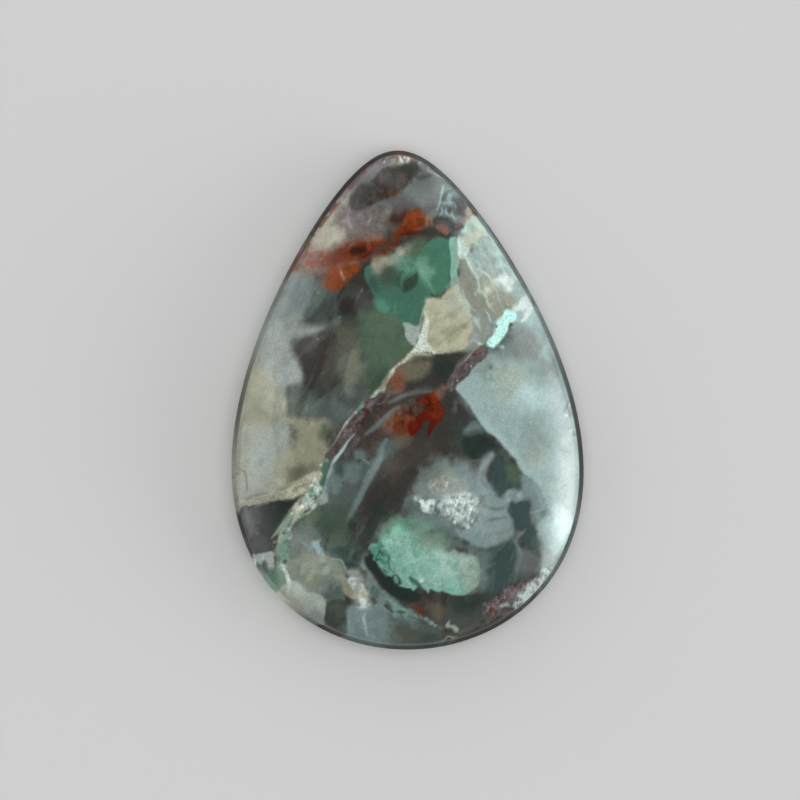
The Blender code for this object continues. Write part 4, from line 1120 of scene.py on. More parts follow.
    rock.vein("slate", 0.4, [(-11.1, -10.9, 0.1), (-11.6, -11.6, 0.25), (-12.2, -12, 0.1)], 0.6)
    rock.patch("milk", 0.14, [
        (-13.4, -12.4), (-12.8, -12.2), (-12.2, -11.9), (-11.6, -11.75), (-10.9, -11.7), (-10.9, -12.7),
        (-11, -13.1), (-11.4, -13.1), (-11.7, -12.4), (-12, -13.2), (-12.2, -14.2), (-13, -14)])
    rock.vein("bone", 0.12, [(-11.8, -12, 0.06), (-11.75, -12.3, 0.18), (-11.8, -12.5, 0.06)], 0.7)
    rock.patch("slate", 0.25, [
        (-11.7, -12.4), (-11.4, -13.1), (-11.5, -14), (-12, -14.2), (-12, -13.3)], 0.8)
    rock.patch("leaf", 0.25, [
        (-11.4, -13.1), (-10.7, -13), (-10.3, -13.2), (-10, -13.8), (-10.1, -14.6), (-10.8, -15),
        (-11.6, -14.4)], 0.65)
    rock.vein("crackle", 0.12, [
        (-10.2, -12.9, 0.3), (-10, -13.3, 0.3), (-9.8, -13.9, 0.35), (-9.75, -14.6, 0.35),
        (-10, -15.2, 0.2)], 0.9, ragged=0.12)


def lay_left_chip(rock):
    rock.patch("butter", 0.12, [
        (-14.4, -5.3), (-13.6, -5.15), (-13.15, -5.2), (-12.95, -5.7), (-12.95, -6.8), (-13.1, -7.4),
        (-13.7, -7.3), (-14.4, -7)], 0.7)
    # The umber line along the chip's right and top edge is painted shadow
    rock.vein("umber", 0.14, [
        (-13.4, -5.15, 0.06), (-13.1, -5.2, 0.14), (-12.92, -5.5, 0.16), (-12.86, -6, 0.14),
        (-12.9, -6.8, 0.06)], 0.8)
    rock.vein("milk", 0.2, [(-13.3, -5.6, 0.15), (-13.25, -6.3, 0.25), (-13.3, -7, 0.15)], 0.6)
    rock.specks("umber", 0.2, [(-13.9, -6.3, 0.22), (-13.85, -7.1, 0.2), (-13.6, -5.4, 0.1)], 0.7)


def lay_lower_centre(rock):
    rock.patch("slate", 1.0, [
        (-6.2, -5), (-4.8, -4.2), (-3.6, -3.6), (-2.4, -3.2), (-1.4, -3.2), (-2, -4.6), (-3, -6.2),
        (-4, -8), (-5, -9.6), (-6.2, -9.4), (-6.6, -7.6)])
    rock.patch("smoky", 1.4, [
        (-1, -4.4), (0.6, -3.4), (1.8, -3), (3, -1.6), (3.6, 0.2), (4.4, -0.6), (5.8, -2.4), (6.2, -3.6),
        (5, -4.6), (3, -4.6), (1.2, -5.4), (0.2, -6.6), (-0.8, -8.6), (-2.6, -9.6), (-4.2, -9.6), (-3, -7)])
    rock.patch("smoke_brown", 1.0, [
        (-1.6, -5), (0.2, -4), (1.6, -3.2), (2.4, -4.4), (0.8, -5.6), (-0.2, -7.2), (-1.6, -6.6)], 0.8)
    rock.patch("deep_teal", 1.6, [
        (3.6, -2.4), (5, -1.6), (6.2, -3), (8, -4.8), (8.6, -6.6), (7.4, -7.8), (6, -4.6), (4.6, -4)], 0.6)
    rock.patch("petal", 0.5, [
        (4.6, -2.5), (5.1, -2.1), (5.7, -2.3), (5.9, -2.8), (5.4, -3.1), (4.8, -3)], 0.6, ragged=0.2)
    rock.growths("mist", 0.4, [
        (3.8, -0.2), (4.8, -0.8), (5.4, -2), (4.6, -2), (3.8, -1)], 1.8, 0.25, 0.4, lean=-0.6, stretch=2.5)
    rock.patch("black_green", 0.9, [
        (-3, -8.4), (-1.8, -7.8), (-0.8, -8.2), (-1, -9.2), (-2.2, -9.8), (-3, -10.8), (-3.8, -10.4)], 0.7)
    rock.patch("black_green", 0.7, [
        (4.6, -3.2), (6.2, -3), (7, -3.4), (7.6, -4), (6.4, -4.4), (5.6, -5), (4.8, -4.6)], 0.9)
    rock.patch("blue_mist", 0.5, [(-4.4, -3.8), (-3.8, -3.6), (-3.3, -4), (-3.5, -4.6), (-4.2, -4.6)], 0.8)
    rock.patch("blue_mist", 0.6, [(-5, -5), (-4.2, -4.8), (-3.8, -5.4), (-4.2, -6), (-5, -6)], 0.8)
    rock.patch("blue_mist", 0.5, [(-5.9, -5.8), (-5.4, -6), (-5.4, -6.8), (-5.9, -7.2), (-6.1, -6.4)], 0.9)
    rock.patch("deep_teal", 0.4, [(-5.6, -5), (-5.2, -4.9), (-5.1, -5.5), (-5.4, -5.7)], 0.8)
    rock.vein("fog", 0.2, [(-3.5, -4.6, 0.06), (-3.2, -4.8, 0.15), (-3, -5, 0.1)], 0.6)
    rock.specks("pocket", 0.15, [(-5.15, -6.4, 0.1), (-3.1, -4.6, 0.14), (-3.8, -4.7, 0.12)], 0.6)
    rock.vein("blue_mist", 0.35, [
        (-1.6, -3.1, 0.3), (-1.9, -3.8, 0.5), (-2.2, -4.6, 0.6), (-2.8, -5.6, 0.6), (-3.4, -6.6, 0.55),
        (-4, -7.8, 0.45), (-4.6, -8.8, 0.4), (-5.1, -9.5, 0.35)], ragged=0.12)
    rock.vein("mist", 0.3, [(-1.9, -4, 0.15), (-2.6, -5.4, 0.2), (-3.5, -6.8, 0.15)], 0.6)
    rock.patch("slate", 0.7, [(-1.6, -3.3), (-0.8, -3.2), (-1, -4), (-1.8, -4.8), (-2, -4.2)], 0.8)
    rock.patch("slate", 0.9, [(-6.6, -8), (-5.9, -8), (-5.8, -9), (-6.3, -9.7), (-6.8, -9)], 0.7)
    rock.patch("moss", 1.6, [
        (-7, -8), (-5.4, -8.2), (-4, -10), (-4.6, -11.6), (-6.4, -11.4), (-7.2, -10)], 0.7)
    rock.patch("mist", 1.4, [(-9.4, -10), (-8, -9.8), (-7, -10.6), (-7.6, -11.6), (-9.4, -11.6)], 0.7)
    rock.growths("milk_blue", 0.3, [
        (-8.8, -10.8), (-8, -11.5), (-7.2, -10.9), (-6.9, -12), (-7.5, -12.1)], 2.2, 0.4, 0.6)
    rock.vein("petal", 0.25, [
        (-8.6, -11, 0.15), (-8.1, -11.3, 0.3), (-7.6, -11.2, 0.35), (-7.3, -11.7, 0.3),
        (-7, -12.1, 0.1)], 0.9, ragged=0.12)
    rock.patch("milk_blue", 0.2, [
        (-7.7, -11.1), (-7.35, -11), (-7.2, -11.5), (-7.3, -12), (-7.5, -11.7)], 0.7, ragged=0.15)
    rock.patch("tan", 1.0, [
        (-8.5, -12.6), (-7.7, -12.4), (-7.4, -13.6), (-7.8, -14.6), (-8.4, -14.2)], 0.45)
    rock.vein("fog", 0.12, [
        (-7, -12.15, 0.05), (-6.2, -12.45, 0.08), (-5.6, -12.55, 0.12), (-5.3, -13, 0.12),
        (-5.1, -13.6, 0.08)], 0.8)


def lay_lower_left(rock):
    rock.patch("blue_mist", 0.9, [
        (-7, -14.4), (-6, -14), (-5.5, -14.4), (-5.6, -15.6), (-6.6, -16), (-7.2, -15.4)], 0.8)
    rock.patch("slate", 0.8, [
        (-7, -15.2), (-6.2, -14.2), (-5.6, -14.6), (-5.6, -15.6), (-6.4, -16), (-7, -15.6)])
    rock.patch("pocket", 0.35, [
        (-6.9, -16), (-6.2, -15.7), (-5.4, -15.8), (-5, -16), (-5.3, -16.6), (-5.25, -17.6), (-5.4, -18.6),
        (-5.8, -20), (-7.2, -19), (-7.1, -17.2)], 0.8)
    rock.patch("umber", 0.8, [(-7.4, -17.8), (-6.2, -18), (-5.6, -18.4), (-5.6, -19.4), (-7.4, -18.8)], 0.6)
    rock.growths("fog", 0.6, [
        (-9.6, -11), (-7.4, -12), (-5.6, -12.8), (-5.6, -15), (-8, -15), (-9.8, -13.4)], 1.2, 0.35, 0.4)
    rock.patch("milk", 0.16, [
        (-11.4, -15.6), (-10.4, -14.6), (-9.6, -14), (-8.9, -14.2), (-8.5, -14.9), (-7.9, -15),
        (-7.3, -15.3), (-6.9, -15.9), (-6.95, -16.6), (-7.1, -17.6), (-7.5, -18.6), (-9, -18),
        (-10.6, -16.8)], 0.75)
    rock.patch("tan", 1.2, [
        (-11, -15), (-9.8, -15), (-8.8, -15.6), (-8.6, -17), (-9.6, -17.6), (-11, -16.4)], 0.55)
    rock.patch("tan", 0.9, [(-8.4, -17), (-7.2, -17.2), (-7, -18), (-8, -18.6)], 0.5)
    rock.vein("bronze", 0.3, [(-9.8, -16.4, 0.3), (-8.8, -17.2, 0.25), (-7.8, -17.8, 0.2)], 0.4, ragged=0.2)
    rock.patch("milk", 0.4, [(-8.4, -15.1), (-7.6, -15.2), (-7.3, -15.8), (-8, -15.8), (-8.4, -15.5)], 0.5)
    rock.patch("tan", 0.25, [
        (-5.5, -14.1), (-5.1, -13.95), (-4.8, -14.5), (-4.5, -15), (-4.4, -15.6), (-4.9, -15.6),
        (-5.4, -15.2)], 0.9)
    rock.patch("fog", 0.5, [(-5.1, -13.4), (-4.4, -13.3), (-3.7, -13.8), (-3.9, -14.3), (-4.7, -14.2)], 0.7)
    rock.vein("petal", 0.4, [
        (-3.9, -12.7, 0.15), (-3.5, -13.5, 0.4), (-3.2, -14.4, 0.9), (-2.6, -15.4, 1.1), (-1.8, -16.2, 1.0),
        (-0.9, -16.8, 0.7), (0.2, -17.2, 0.4)], 0.8, ragged=0.25)
    rock.patch("milk", 0.8, [
        (-5, -13.9), (-4, -13.8), (-3.4, -14.6), (-3.1, -15.8), (-3.3, -16.6), (-4.2, -16.6),
        (-4.5, -15.6)], 0.85)
    rock.vein("milk", 0.15, [
        (-4.2, -12.7, 0.05), (-3.9, -13.1, 0.1), (-3.5, -13.6, 0.1), (-3.3, -14, 0.05)], 0.5)
    rock.patch("milk", 0.14, [
        (-4.95, -14.15), (-4.3, -14.25), (-3.8, -14.7), (-3.9, -15.2), (-4.25, -14.95),
        (-4.6, -14.75)], 0.75, ragged=0.06)
    rock.patch("cream", 0.16, [
        (-4.2, -15), (-3.85, -15.1), (-3.75, -15.8), (-3.7, -16.4), (-3.95, -16.45), (-4.2, -16),
        (-4.3, -15.5)], 0.95, ragged=0.06)
    rock.specks("bone", 0.15, [(-4.05, -15.8, 0.15), (-4.5, -14.45, 0.12)], 0.8)
    rock.patch("petal", 0.16, [
        (-5.2, -16.8), (-4.9, -16.3), (-4.4, -16.2), (-3.6, -16.4), (-2.6, -16.2), (-1.8, -16.7),
        (-0.6, -17.1), (0.4, -17.6), (0, -19), (-1, -20.6), (-4, -20.4), (-5.8, -19.6), (-5.2, -18)], 0.5)
    rock.patch("teal_grey", 1.6, [
        (-1.2, -17.8), (0.2, -17.8), (2, -18.6), (2.4, -20), (0, -21), (-1.6, -20)], 0.9)
    rock.growths("milk_blue", 0.6, [
        (-5, -17), (-3, -16.4), (-1, -17.4), (-2, -19.6), (-5, -18.8)], 0.9, 0.3, 0.25)
    rock.patch("pocket", 1.2, [(-0.8, -18.2), (0.4, -18), (1.8, -18.8), (1.6, -19.6), (-0.6, -19.4)], 0.45)
    rock.patch("umber", 1.2, [(-2, -18.6), (-0.6, -18), (0.6, -18.6), (0, -19.6), (-1.6, -19.6)], 0.4)
    rock.vein("pale_blue", 0.12, [
        (-3.75, -16.9, 0.06), (-3.9, -17.2, 0.18), (-3.8, -17.8, 0.12), (-3.75, -18.4, 0.1),
        (-3.6, -18.8, 0.04)], 0.8)
    rock.vein("mist", 0.3, [(-2.6, -16.8, 0.1), (-2.1, -17.2, 0.2), (-1.6, -17.8, 0.15)], 0.5)
    rock.vein("fog", 0.12, [(-2.2, -19.3, 0.06), (-1.95, -19.5, 0.12), (-1.7, -19.6, 0.04)], 0.7)
    rock.patch("bark", 0.8, [
        (0, -15.4), (1.4, -15.6), (2.6, -15.6), (2.8, -17), (2.4, -18), (1.4, -17.6), (0.6, -16.6)], 0.6)
    rock.patch("umber", 0.8, [(1.2, -16.2), (2.2, -16), (2.6, -16.8), (2.2, -17.8), (1.6, -17.4)], 0.7)
    rock.patch("black_green", 0.3, [
        (-3.6, -12.4), (-3, -12.3), (-2.4, -13.3), (-1.7, -14.1), (-1, -14.8), (0, -15.1), (0.7, -15.6),
        (0.3, -16.1), (-0.6, -15.9), (-1.6, -15.4), (-2.2, -14.8), (-2.8, -14), (-3.5, -13.2)])
    rock.vein("mist", 0.3, [
        (-3.2, -14.6, 0.5), (-2.6, -15.4, 0.6), (-1.8, -16.2, 0.6), (-0.9, -16.7, 0.5), (0.2, -17.1, 0.4),
        (1.2, -17.6, 0.25), (2.2, -18.3, 0.2)], 0.75, ragged=0.12)
    rock.vein("sea_green", 0.15, [
        (-3.2, -14.3, 0.1), (-2.8, -15, 0.2), (-2.3, -15.6, 0.15), (-1.9, -16.1, 0.05)], 0.7, ragged=0.1)
    rock.growths("jade", 0.25, [
        (-3.8, -12.8), (-3, -14.4), (-2, -15.7), (-0.8, -16.5), (0.8, -17.2), (0, -17.4), (-2, -16.9),
        (-3.2, -15.6), (-3.8, -14)], 2.2, 0.3, 0.6, lean=-0.6, stretch=2.0)
    rock.growths("teal_grey", 0.25, [
        (-3.8, -12.8), (-3, -14.4), (-2, -15.7), (-0.8, -16.5), (0.8, -17.2), (0, -17.4), (-2, -16.9),
        (-3.2, -15.6)], 2.6, 0.25, 0.6, lean=-0.6, stretch=2.0)
    crumbs = [(-5, -14.1), (-4, -14.1), (-3.6, -15), (-3.5, -16.3), (-4.2, -16.4), (-4.4, -15.4)]
    rock.growths("bone", 0.3, crumbs, 1.8, 0.4, 0.9)
    rock.growths("sand", 0.3, crumbs, 2.4, 0.25, 0.7)
    rock.vein("black_green", 0.1, [(-2.15, -16.25, 0.1), (-1.8, -16.6, 0.16), (-1.4, -16.85, 0.06)], 0.85)
    rock.vein("black_green", 0.12, [(-1.25, -16.75, 0.1), (-0.9, -16.85, 0.22), (-0.6, -16.9, 0.08)], 0.7)
    rock.patch("rust", 0.15, [
        (0, -16.3), (0.45, -16.35), (0.85, -16.85), (0.9, -17.3), (0.55, -17.1), (0.3, -16.75),
        (0.05, -16.6)], 0.6, ragged=0.12)
    rock.specks("jade", 0.15, [(1.05, -17.45, 0.12), (1.5, -17.85, 0.16), (1.75, -18.05, 0.12)], 0.8)
    rock.specks("maroon", 0.2, [(2.6, -18.5, 0.15), (2.9, -18.55, 0.1)], 0.6)
    rock.patch("cream", 0.12, [
        (2.55, -18.1), (2.65, -17.8), (2.95, -17.6), (2.9, -18), (3.4, -18.15), (3.65, -18.5),
        (3.35, -18.65), (3, -18.3), (2.7, -18.3)], 0.7, ragged=0.08)
    rock.vein("cream", 0.1, [
        (2.2, -19.45, 0.05), (2.5, -19.2, 0.08), (2.8, -18.95, 0.12), (3.2, -19.1, 0.12),
        (3.5, -19.05, 0.06)], 0.7)


def lay_green_cloud(rock):
    rock.patch("leaf", 1.6, [
        (-2.4, -10.6), (-1.4, -9.4), (0, -9.1), (1.6, -10.1), (3.2, -10.9), (4, -12), (0, -12),
        (-2, -12)], 0.85)
    rock.patch("leaf", 0.9, [
        (-2.7, -11.2), (-2.4, -10), (-1.6, -9.2), (-0.6, -9.5), (-0.7, -10.8), (-1.8, -11.4)], 0.6)
    rock.patch("mint", 0.8, [
        (-2.3, -10.9), (-1.8, -10.5), (-1.2, -10.1), (-0.4, -10.2), (0.5, -10.6), (1.4, -11.2),
        (2.4, -11.8), (3.6, -12.1), (4.6, -12.4), (5.2, -12.7), (5, -14), (3.6, -14.6), (1, -14),
        (-0.6, -13.8), (-2, -12.4)])
    rock.patch("mint", 0.1, [
        (-2.1, -11), (-2.7, -11.25), (-3.2, -11.45), (-2.95, -12), (-2.95, -12.5), (-2.5, -13.1),
        (-2, -13.6), (-1.75, -13.95), (-1.3, -14.3), (-1, -14.7), (-0.6, -14.88), (-0.1, -14.95),
        (0.2, -15.1), (0.45, -14.8), (0.75, -14.85), (1, -15.1), (1.3, -15.45), (1.5, -15.15), (2, -15.35),
        (2.6, -15.4), (3.2, -15.65), (3.9, -15.7), (4.3, -15.65), (4.8, -15.2), (5.3, -14.8), (5.45, -14),
        (5.4, -13.2), (5.1, -13), (3.6, -13), (0.6, -12), (-1, -11.2)], ragged=0.12)
    rock.patch("milk", 1.4, [
        (3.4, -11.9), (4.6, -12.4), (5.4, -13), (5.3, -14.6), (4.4, -15.4), (3.8, -14.8), (3.6, -13.4),
        (2.6, -12.4)], 0.75)
    rock.patch("ice", 1.2, [(0.6, -13), (2, -13), (3.4, -13.8), (3, -15), (1.6, -14.6)], 0.35)
    rock.patch("leaf", 1.0, [
        (1.6, -11.2), (2.8, -11.8), (4, -12.2), (3.4, -12.5), (2, -12.1), (0.8, -11.4), (0.2, -10.8)], 0.6)
    cloud = [
        (-3.1, -11.5), (-2, -10.8), (-0.6, -10.4), (1.2, -11.2), (3.6, -12.1), (5.1, -12.8), (5.3, -14.6),
        (4.2, -15.5), (2.4, -15.2), (1, -14.9), (-0.9, -14.6), (-2.4, -13.2)]
    rock.growths("sea_green", 0.3, cloud, 1.7, 0.25, 0.3)
    rock.growths("ice", 0.5, cloud, 1.2, 0.25, 0.25)
    rock.growths("ice", 0.4, cloud, 4.5, 0.2, 0.25)
    rock.growths("sea_green", 0.3, cloud, 5.0, 0.3, 0.25)
    rock.patch("leaf", 1.2, [(3.6, -12.4), (5, -13), (5.3, -14.4), (4.4, -15.2), (3.8, -14)], 0.25)
    rock.patch("ice", 0.8, [(3, -12), (4.2, -12.1), (5, -12.8), (4.2, -13.2), (3, -12.8)], 0.35)
    rock.patch("tawny", 0.9, [
        (0.6, -10.3), (2, -10.8), (3.6, -11.6), (4.8, -12.3), (4, -12.7), (2.4, -12), (0.8, -11.3)], 0.45)
    rock.patch("lattice", 0.9, [
        (4.4, -12.8), (5.3, -13), (5.5, -14.2), (4.8, -15.4), (4, -15.4), (4.2, -14)], 0.4)
    rock.patch("blue_mist", 0.7, [
        (5.3, -12.3), (6.1, -12.4), (6.1, -14.6), (5.5, -15.4), (5.35, -14.6), (5.4, -13.4)], 0.7)
    rock.patch("blue_mist", 0.6, [
        (3.2, -11.1), (4.4, -11.5), (5.5, -12), (5.4, -12.5), (4.2, -12.2), (3, -11.7)], 0.6)
    rock.vein("black_green", 0.12, [
        (-3.3, -11.6, 0.08), (-3.05, -12.6, 0.12), (-2.3, -13.5, 0.12), (-1.6, -14.3, 0.14),
        (-0.9, -14.95, 0.1), (-0.1, -15.1, 0.12)], 0.8, ragged=0.15)
    rock.growths("emerald", 0.3, [
        (-3.1, -11.5), (-2.2, -11), (-1.6, -12.4), (-1, -14.6), (-1.8, -14), (-2.9, -12.6)], 2.4, 0.4, 0.7)
    rock.patch("ice", 0.9, [(2, -12.1), (2.6, -12), (3.1, -12.5), (2.6, -12.8), (2.1, -12.5)], 0.5)
    rock.patch("ice", 0.8, [(2.5, -13.4), (3, -13.5), (3.1, -14), (2.7, -14.1)], 0.4)
    rock.patch("ice", 0.8, [(-0.9, -11), (-0.4, -11.4), (-0.2, -12), (-0.6, -12), (-1, -11.4)], 0.35)
    rock.patch("sea_green", 0.9, [(0.6, -13.2), (1.3, -13.2), (1.8, -13.8), (1.2, -14), (0.6, -13.7)], 0.35)
    rock.patch("sea_green", 0.35, [
        (-3.2, -11.5), (-2.6, -11.3), (-2.1, -12), (-1.9, -12.8), (-1.55, -13.5), (-1.2, -14),
        (-1.1, -14.6), (-1.7, -14), (-2.4, -13.2), (-2.9, -12.5)], 0.85, ragged=0.2)
    rock.growths("black_green", 0.12, [
        (-3.3, -11.5), (-2.5, -11.7), (-1.5, -13.2), (-0.8, -14.8), (-1.8, -14.4),
        (-3, -12.8)], 2.0, 0.3, 0.7)
    rock.growths("jade", 0.12, [
        (-3.3, -11.5), (-2.5, -11.5), (-1.5, -13), (-0.8, -14.6), (-1.8, -14.2),
        (-3, -12.6)], 2.4, 0.3, 0.7)
    rock.vein("black_green", 0.08, [
        (-1.75, -12.4, 0.06), (-1.8, -12.9, 0.1), (-1.55, -13.5, 0.1), (-1.25, -13.8, 0.06),
        (-1.05, -14.1, 0.1), (-0.95, -14.5, 0.08)], 0.7, ragged=0.1)
    rock.vein("emerald", 0.1, [
        (-2.4, -12.2, 0.06), (-2.2, -12.8, 0.12), (-1.9, -13.3, 0.06)], 0.6, ragged=0.12)
    rock.patch("emerald", 0.12, [
        (-0.15, -14.1), (0.3, -14.35), (0.8, -14.8), (1.2, -15.2), (0.7, -14.95), (0.4, -14.75),
        (0.1, -14.6)], 0.85, ragged=0.1)
    rock.vein("black_green", 0.08, [(-0.15, -14.1, 0.05), (0.3, -14.4, 0.1), (0.8, -14.85, 0.08)], 0.6)
    rock.specks("bone", 0.12, [(0.8, -14.35, 0.16)], 0.9)
    rock.specks("sand", 0.1, [(4, -13.35, 0.07)], 0.8)


def lay_druse(rock):
    rock.patch("petal", 1.5, [
        (0.9, -6), (2, -5.4), (3, -5), (4.4, -5.1), (5.6, -6.4), (5.8, -8.4), (5, -9.8), (3.4, -9.8),
        (2.2, -9), (0.6, -8.8), (-0.5, -8.4), (0, -7.2), (0.4, -6.4)], 0.85)
    rock.patch("fog", 1.0, [
        (1.6, -6.4), (2.4, -5.9), (3.8, -5.9), (4.6, -6.8), (5.4, -8), (4.8, -9.4), (3.4, -9.2),
        (2.5, -7.8), (1.8, -7.4)], 0.8)
    rock.patch("mist", 1.3, [
        (0.6, -6.2), (2, -5.6), (3.6, -5.6), (4, -7), (3, -8), (1.2, -8.8), (-0.2, -8.4)], 0.65)
    rock.patch("tawny", 1.0, [
        (1.6, -6.2), (2.4, -5.8), (3.6, -6), (4.2, -6.9), (3.2, -7.5), (1.9, -7.4)], 0.4)
    rock.growths("butter", 0.6, [
        (1.6, -6.4), (2.6, -5.8), (3.8, -6.2), (4, -7.2), (3, -7.8), (1.8, -7.2)], 2.6, 0.4, 0.45)
    rock.growths("milk", 0.5, [
        (1.4, -6.2), (3.4, -5.8), (4, -7.2), (2.6, -7.8), (1.4, -7.4)], 3.6, 0.35, 0.45)
    rock.growths("bone", 0.4, [(1.8, -6.4), (3.4, -6.2), (3.6, -7), (2, -7.4)], 4.4, 0.08, 0.5)
    rock.patch("smoky", 0.25, [
        (0.8, -5.7), (0.3, -6.4), (0, -7.2), (-0.4, -8.1), (-0.9, -8.9), (-2, -8.6), (-1, -6.6),
        (0, -5.4)], 0.8, ragged=0.06)
    rock.patch("slate", 0.9, [
        (0.2, -7.4), (0.6, -7.2), (0.9, -8.6), (2.2, -9), (3, -9.8), (4, -10.4), (2.4, -10.6), (0.4, -9.6),
        (-0.6, -8.8)], 0.8)
    rock.patch("blue_mist", 0.8, [
        (0.2, -8.4), (2, -9), (3.6, -9.7), (5, -11.4), (4, -11.5), (2.2, -10.6), (0.2, -9.6)], 0.85)
    rock.patch("slate", 0.9, [
        (2.4, -10.2), (3.8, -10.8), (5.2, -11.5), (5.6, -12.3), (4.6, -12.5), (3.4, -11.9), (2, -11)], 0.8)
    rock.patch("sugar", 0.25, [
        (0.4, -7.7), (1, -7.8), (2, -8), (2, -8.6), (1.6, -9), (1, -8.9), (0.8, -8.3)], 0.8, ragged=0.25)
    rock.growths("fog", 0.9, [
        (1, -6.4), (3, -5.4), (5.4, -7), (5.6, -9), (3.4, -9.6), (1.6, -8)], 1.2, 0.4, 0.5)
    rock.patch("sugar", 0.9, [
        (2.2, -7.9), (4, -7.7), (5.4, -7.3), (5.7, -8.4), (5.3, -9.6), (4.9, -10.3), (3.8, -10),
        (2.7, -9.3), (2.2, -8.5)], 0.6, ragged=0.5)
    rock.growths("slate", 0.4, [
        (0.4, -7.6), (2, -7.9), (4, -7.5), (5.6, -7.6), (5.6, -9.4), (4.8, -10.3), (3.4, -10), (2, -9.1),
        (0.8, -9)], 3.2, 0.35, 0.5)
    rock.growths("blue_fog", 0.3, [
        (2.4, -7.8), (5.4, -7.5), (5.6, -9), (4.4, -10.2), (3, -9.5)], 2.2, 0.3, 0.5)
    # The bone grains and specks of the druse are white crystal, their brightness partly a painted sparkle
    # of the crystal faces
    rock.growths("bone", 0.9, [
        (0.4, -7.6), (2, -7.9), (4, -7.6), (5.6, -7.4), (5.2, -10.2), (3.8, -10), (2, -9.1),
        (1, -9)], 5.2, 0.2, 0.55)
    rock.growths("bone", 0.2, [
        (0.3, -7.6), (1.2, -7.8), (2, -8.1), (1.9, -8.7), (1.2, -8.9), (0.7, -8.2)], 4.2, 0.4, 0.9)
    rock.patch("bone", 0.15, [
        (0.85, -7.9), (1.25, -7.9), (1.4, -8.2), (1.75, -8.25), (1.6, -8.7), (1.2, -8.65),
        (0.9, -8.35)], ragged=0.12)
    rock.specks("bone", 0.12, [
        (1.6, -8.15, 0.08), (2.05, -6.8, 0.07), (3.1, -6.75, 0.08), (4.85, -7.62, 0.1), (5.12, -7.5, 0.06),
        (5.62, -7.52, 0.12), (3.7, -8.5, 0.12), (3.8, -9.12, 0.1), (3.62, -9.85, 0.12), (4.7, -10.25, 0.12),
        (4.95, -10.3, 0.08), (4.85, -8.9, 0.09), (3.2, -9.15, 0.08), (5.5, -8.3, 0.08), (2.5, -8.6, 0.07),
        (5.6, -9.7, 0.06)], 0.9)
    rock.specks("umber", 0.1, [
        (3.9, -8.45, 0.12), (3.92, -8.95, 0.14), (4.2, -9.2, 0.08), (5, -8, 0.07)], 0.8)
    rock.vein("slate", 0.08, [(4.5, -8.6, 0.08), (4.4, -8.8, 0.1), (4.5, -8.95, 0.08)], 0.9)
    rock.specks("slate", 0.15, [
        (1.8, -8.5, 0.14), (2.3, -8.9, 0.18), (4.3, -10.3, 0.16), (1.35, -7.9, 0.08),
        (2.4, -8.1, 0.1)], 0.85)
    rock.patch("petal", 0.4, [
        (3.6, -10.2), (4.4, -10.4), (5.2, -10), (5.8, -9.4), (5.9, -8), (5.6, -7.3), (6.4, -7.6), (7.2, -8),
        (7.8, -8.4), (8, -9), (8.1, -9.8), (8.3, -10.5), (8.2, -11), (7.8, -11.3), (7, -11.7), (6.2, -12),
        (5.4, -12), (4.4, -11.4), (3.7, -11)], 0.9)
    rock.vein("fog", 0.3, [(6.2, -9.5, 0.1), (7, -9.2, 0.2), (7.8, -9.1, 0.1)], 0.6)
    rock.vein("fog", 0.3, [
        (5.6, -10.9, 0.15), (6.2, -10.6, 0.3), (6.9, -10.3, 0.15), (7.6, -10.2, 0.1)], 0.6)
    rock.vein("slate", 0.3, [
        (6, -11, 0.05), (6.8, -10.8, 0.15), (7.6, -10.8, 0.1), (8.2, -10.3, 0.05)], 0.6)
    rock.vein("fog", 0.25, [(6, -11.7, 0.15), (6.9, -11.4, 0.2), (7.8, -11, 0.25)], 0.6)
    rock.patch("fog", 0.3, [(7.5, -10.9), (7.9, -10.9), (7.9, -11.2), (7.6, -11.3)], 0.6)
    rock.patch("blue_fog", 0.8, [
        (5.6, -8), (7, -8.2), (7.8, -9), (7.8, -10.4), (6.6, -11.2), (5.4, -10.8)], 0.5)
    rock.patch("petal", 0.5, [
        (5, -7.6), (5.3, -6.4), (5.8, -5.2), (6.3, -4.5), (6.8, -4.3), (6.95, -4.8), (6.6, -5.3), (6.3, -6),
        (6.5, -6.8), (7, -7.7), (6, -8)])
    rock.vein("blue_fog", 0.5, [
        (6.7, -4.6, 0.3), (6.2, -5.2, 0.5), (5.9, -6, 0.6), (5.9, -7, 0.6), (6.3, -8, 0.4)], 0.85)
    rock.vein("slate", 0.3, [(6, -5.8, 0.1), (5.9, -6.6, 0.25), (6.3, -7.3, 0.1)], 0.4)
    rock.vein("slate", 0.35, [(6, -8.6, 0.1), (6.8, -8.9, 0.25), (7.6, -8.8, 0.1)], 0.5)
    rock.vein("slate", 0.3, [(5.8, -9.9, 0.1), (6.6, -9.7, 0.25), (7.6, -9.6, 0.1)], 0.5)
    rock.patch("deep_teal", 0.8, [
        (6.5, -5.2), (7, -4.6), (7.6, -4.8), (7.9, -5.8), (7.8, -6.8), (7.4, -7.7), (6.9, -7.6), (6.6, -7),
        (6.4, -6.2)], 0.95)
    rock.patch("olive", 0.8, [(7.8, -4.8), (8.4, -5), (8.9, -6), (8.8, -6.8), (8.2, -7), (7.8, -6)], 0.8)
    rock.patch("petal", 0.5, [(7.5, -8), (8, -7.5), (8.8, -7.5), (9.4, -7.8), (9, -8.3), (8.2, -8.4)], 0.95)
    rock.growths("milk", 0.3, [(7.6, -7.9), (8.2, -7.5), (9, -7.6), (8.8, -8.2), (8, -8.3)], 2.4, 0.35, 0.6)
    rock.specks("deep_teal", 0.4, [(8.9, -7.1, 0.2)], 0.8)
    rock.patch("petal", 0.5, [
        (9.1, -6.4), (10, -6.8), (10.5, -7.6), (11, -9.2), (10.9, -10.4), (9.9, -10.2), (9.7, -8.4),
        (9.1, -7.4)], 0.9)
    rock.vein("milk_blue", 0.3, [(10, -7, 0.1), (10.4, -8, 0.3), (10.7, -9, 0.2)], 0.5)
    rock.vein("milk_blue", 0.12, [(9.6, -9.3, 0.06), (10.2, -9.2, 0.15), (10.6, -9, 0.1)], 0.7)
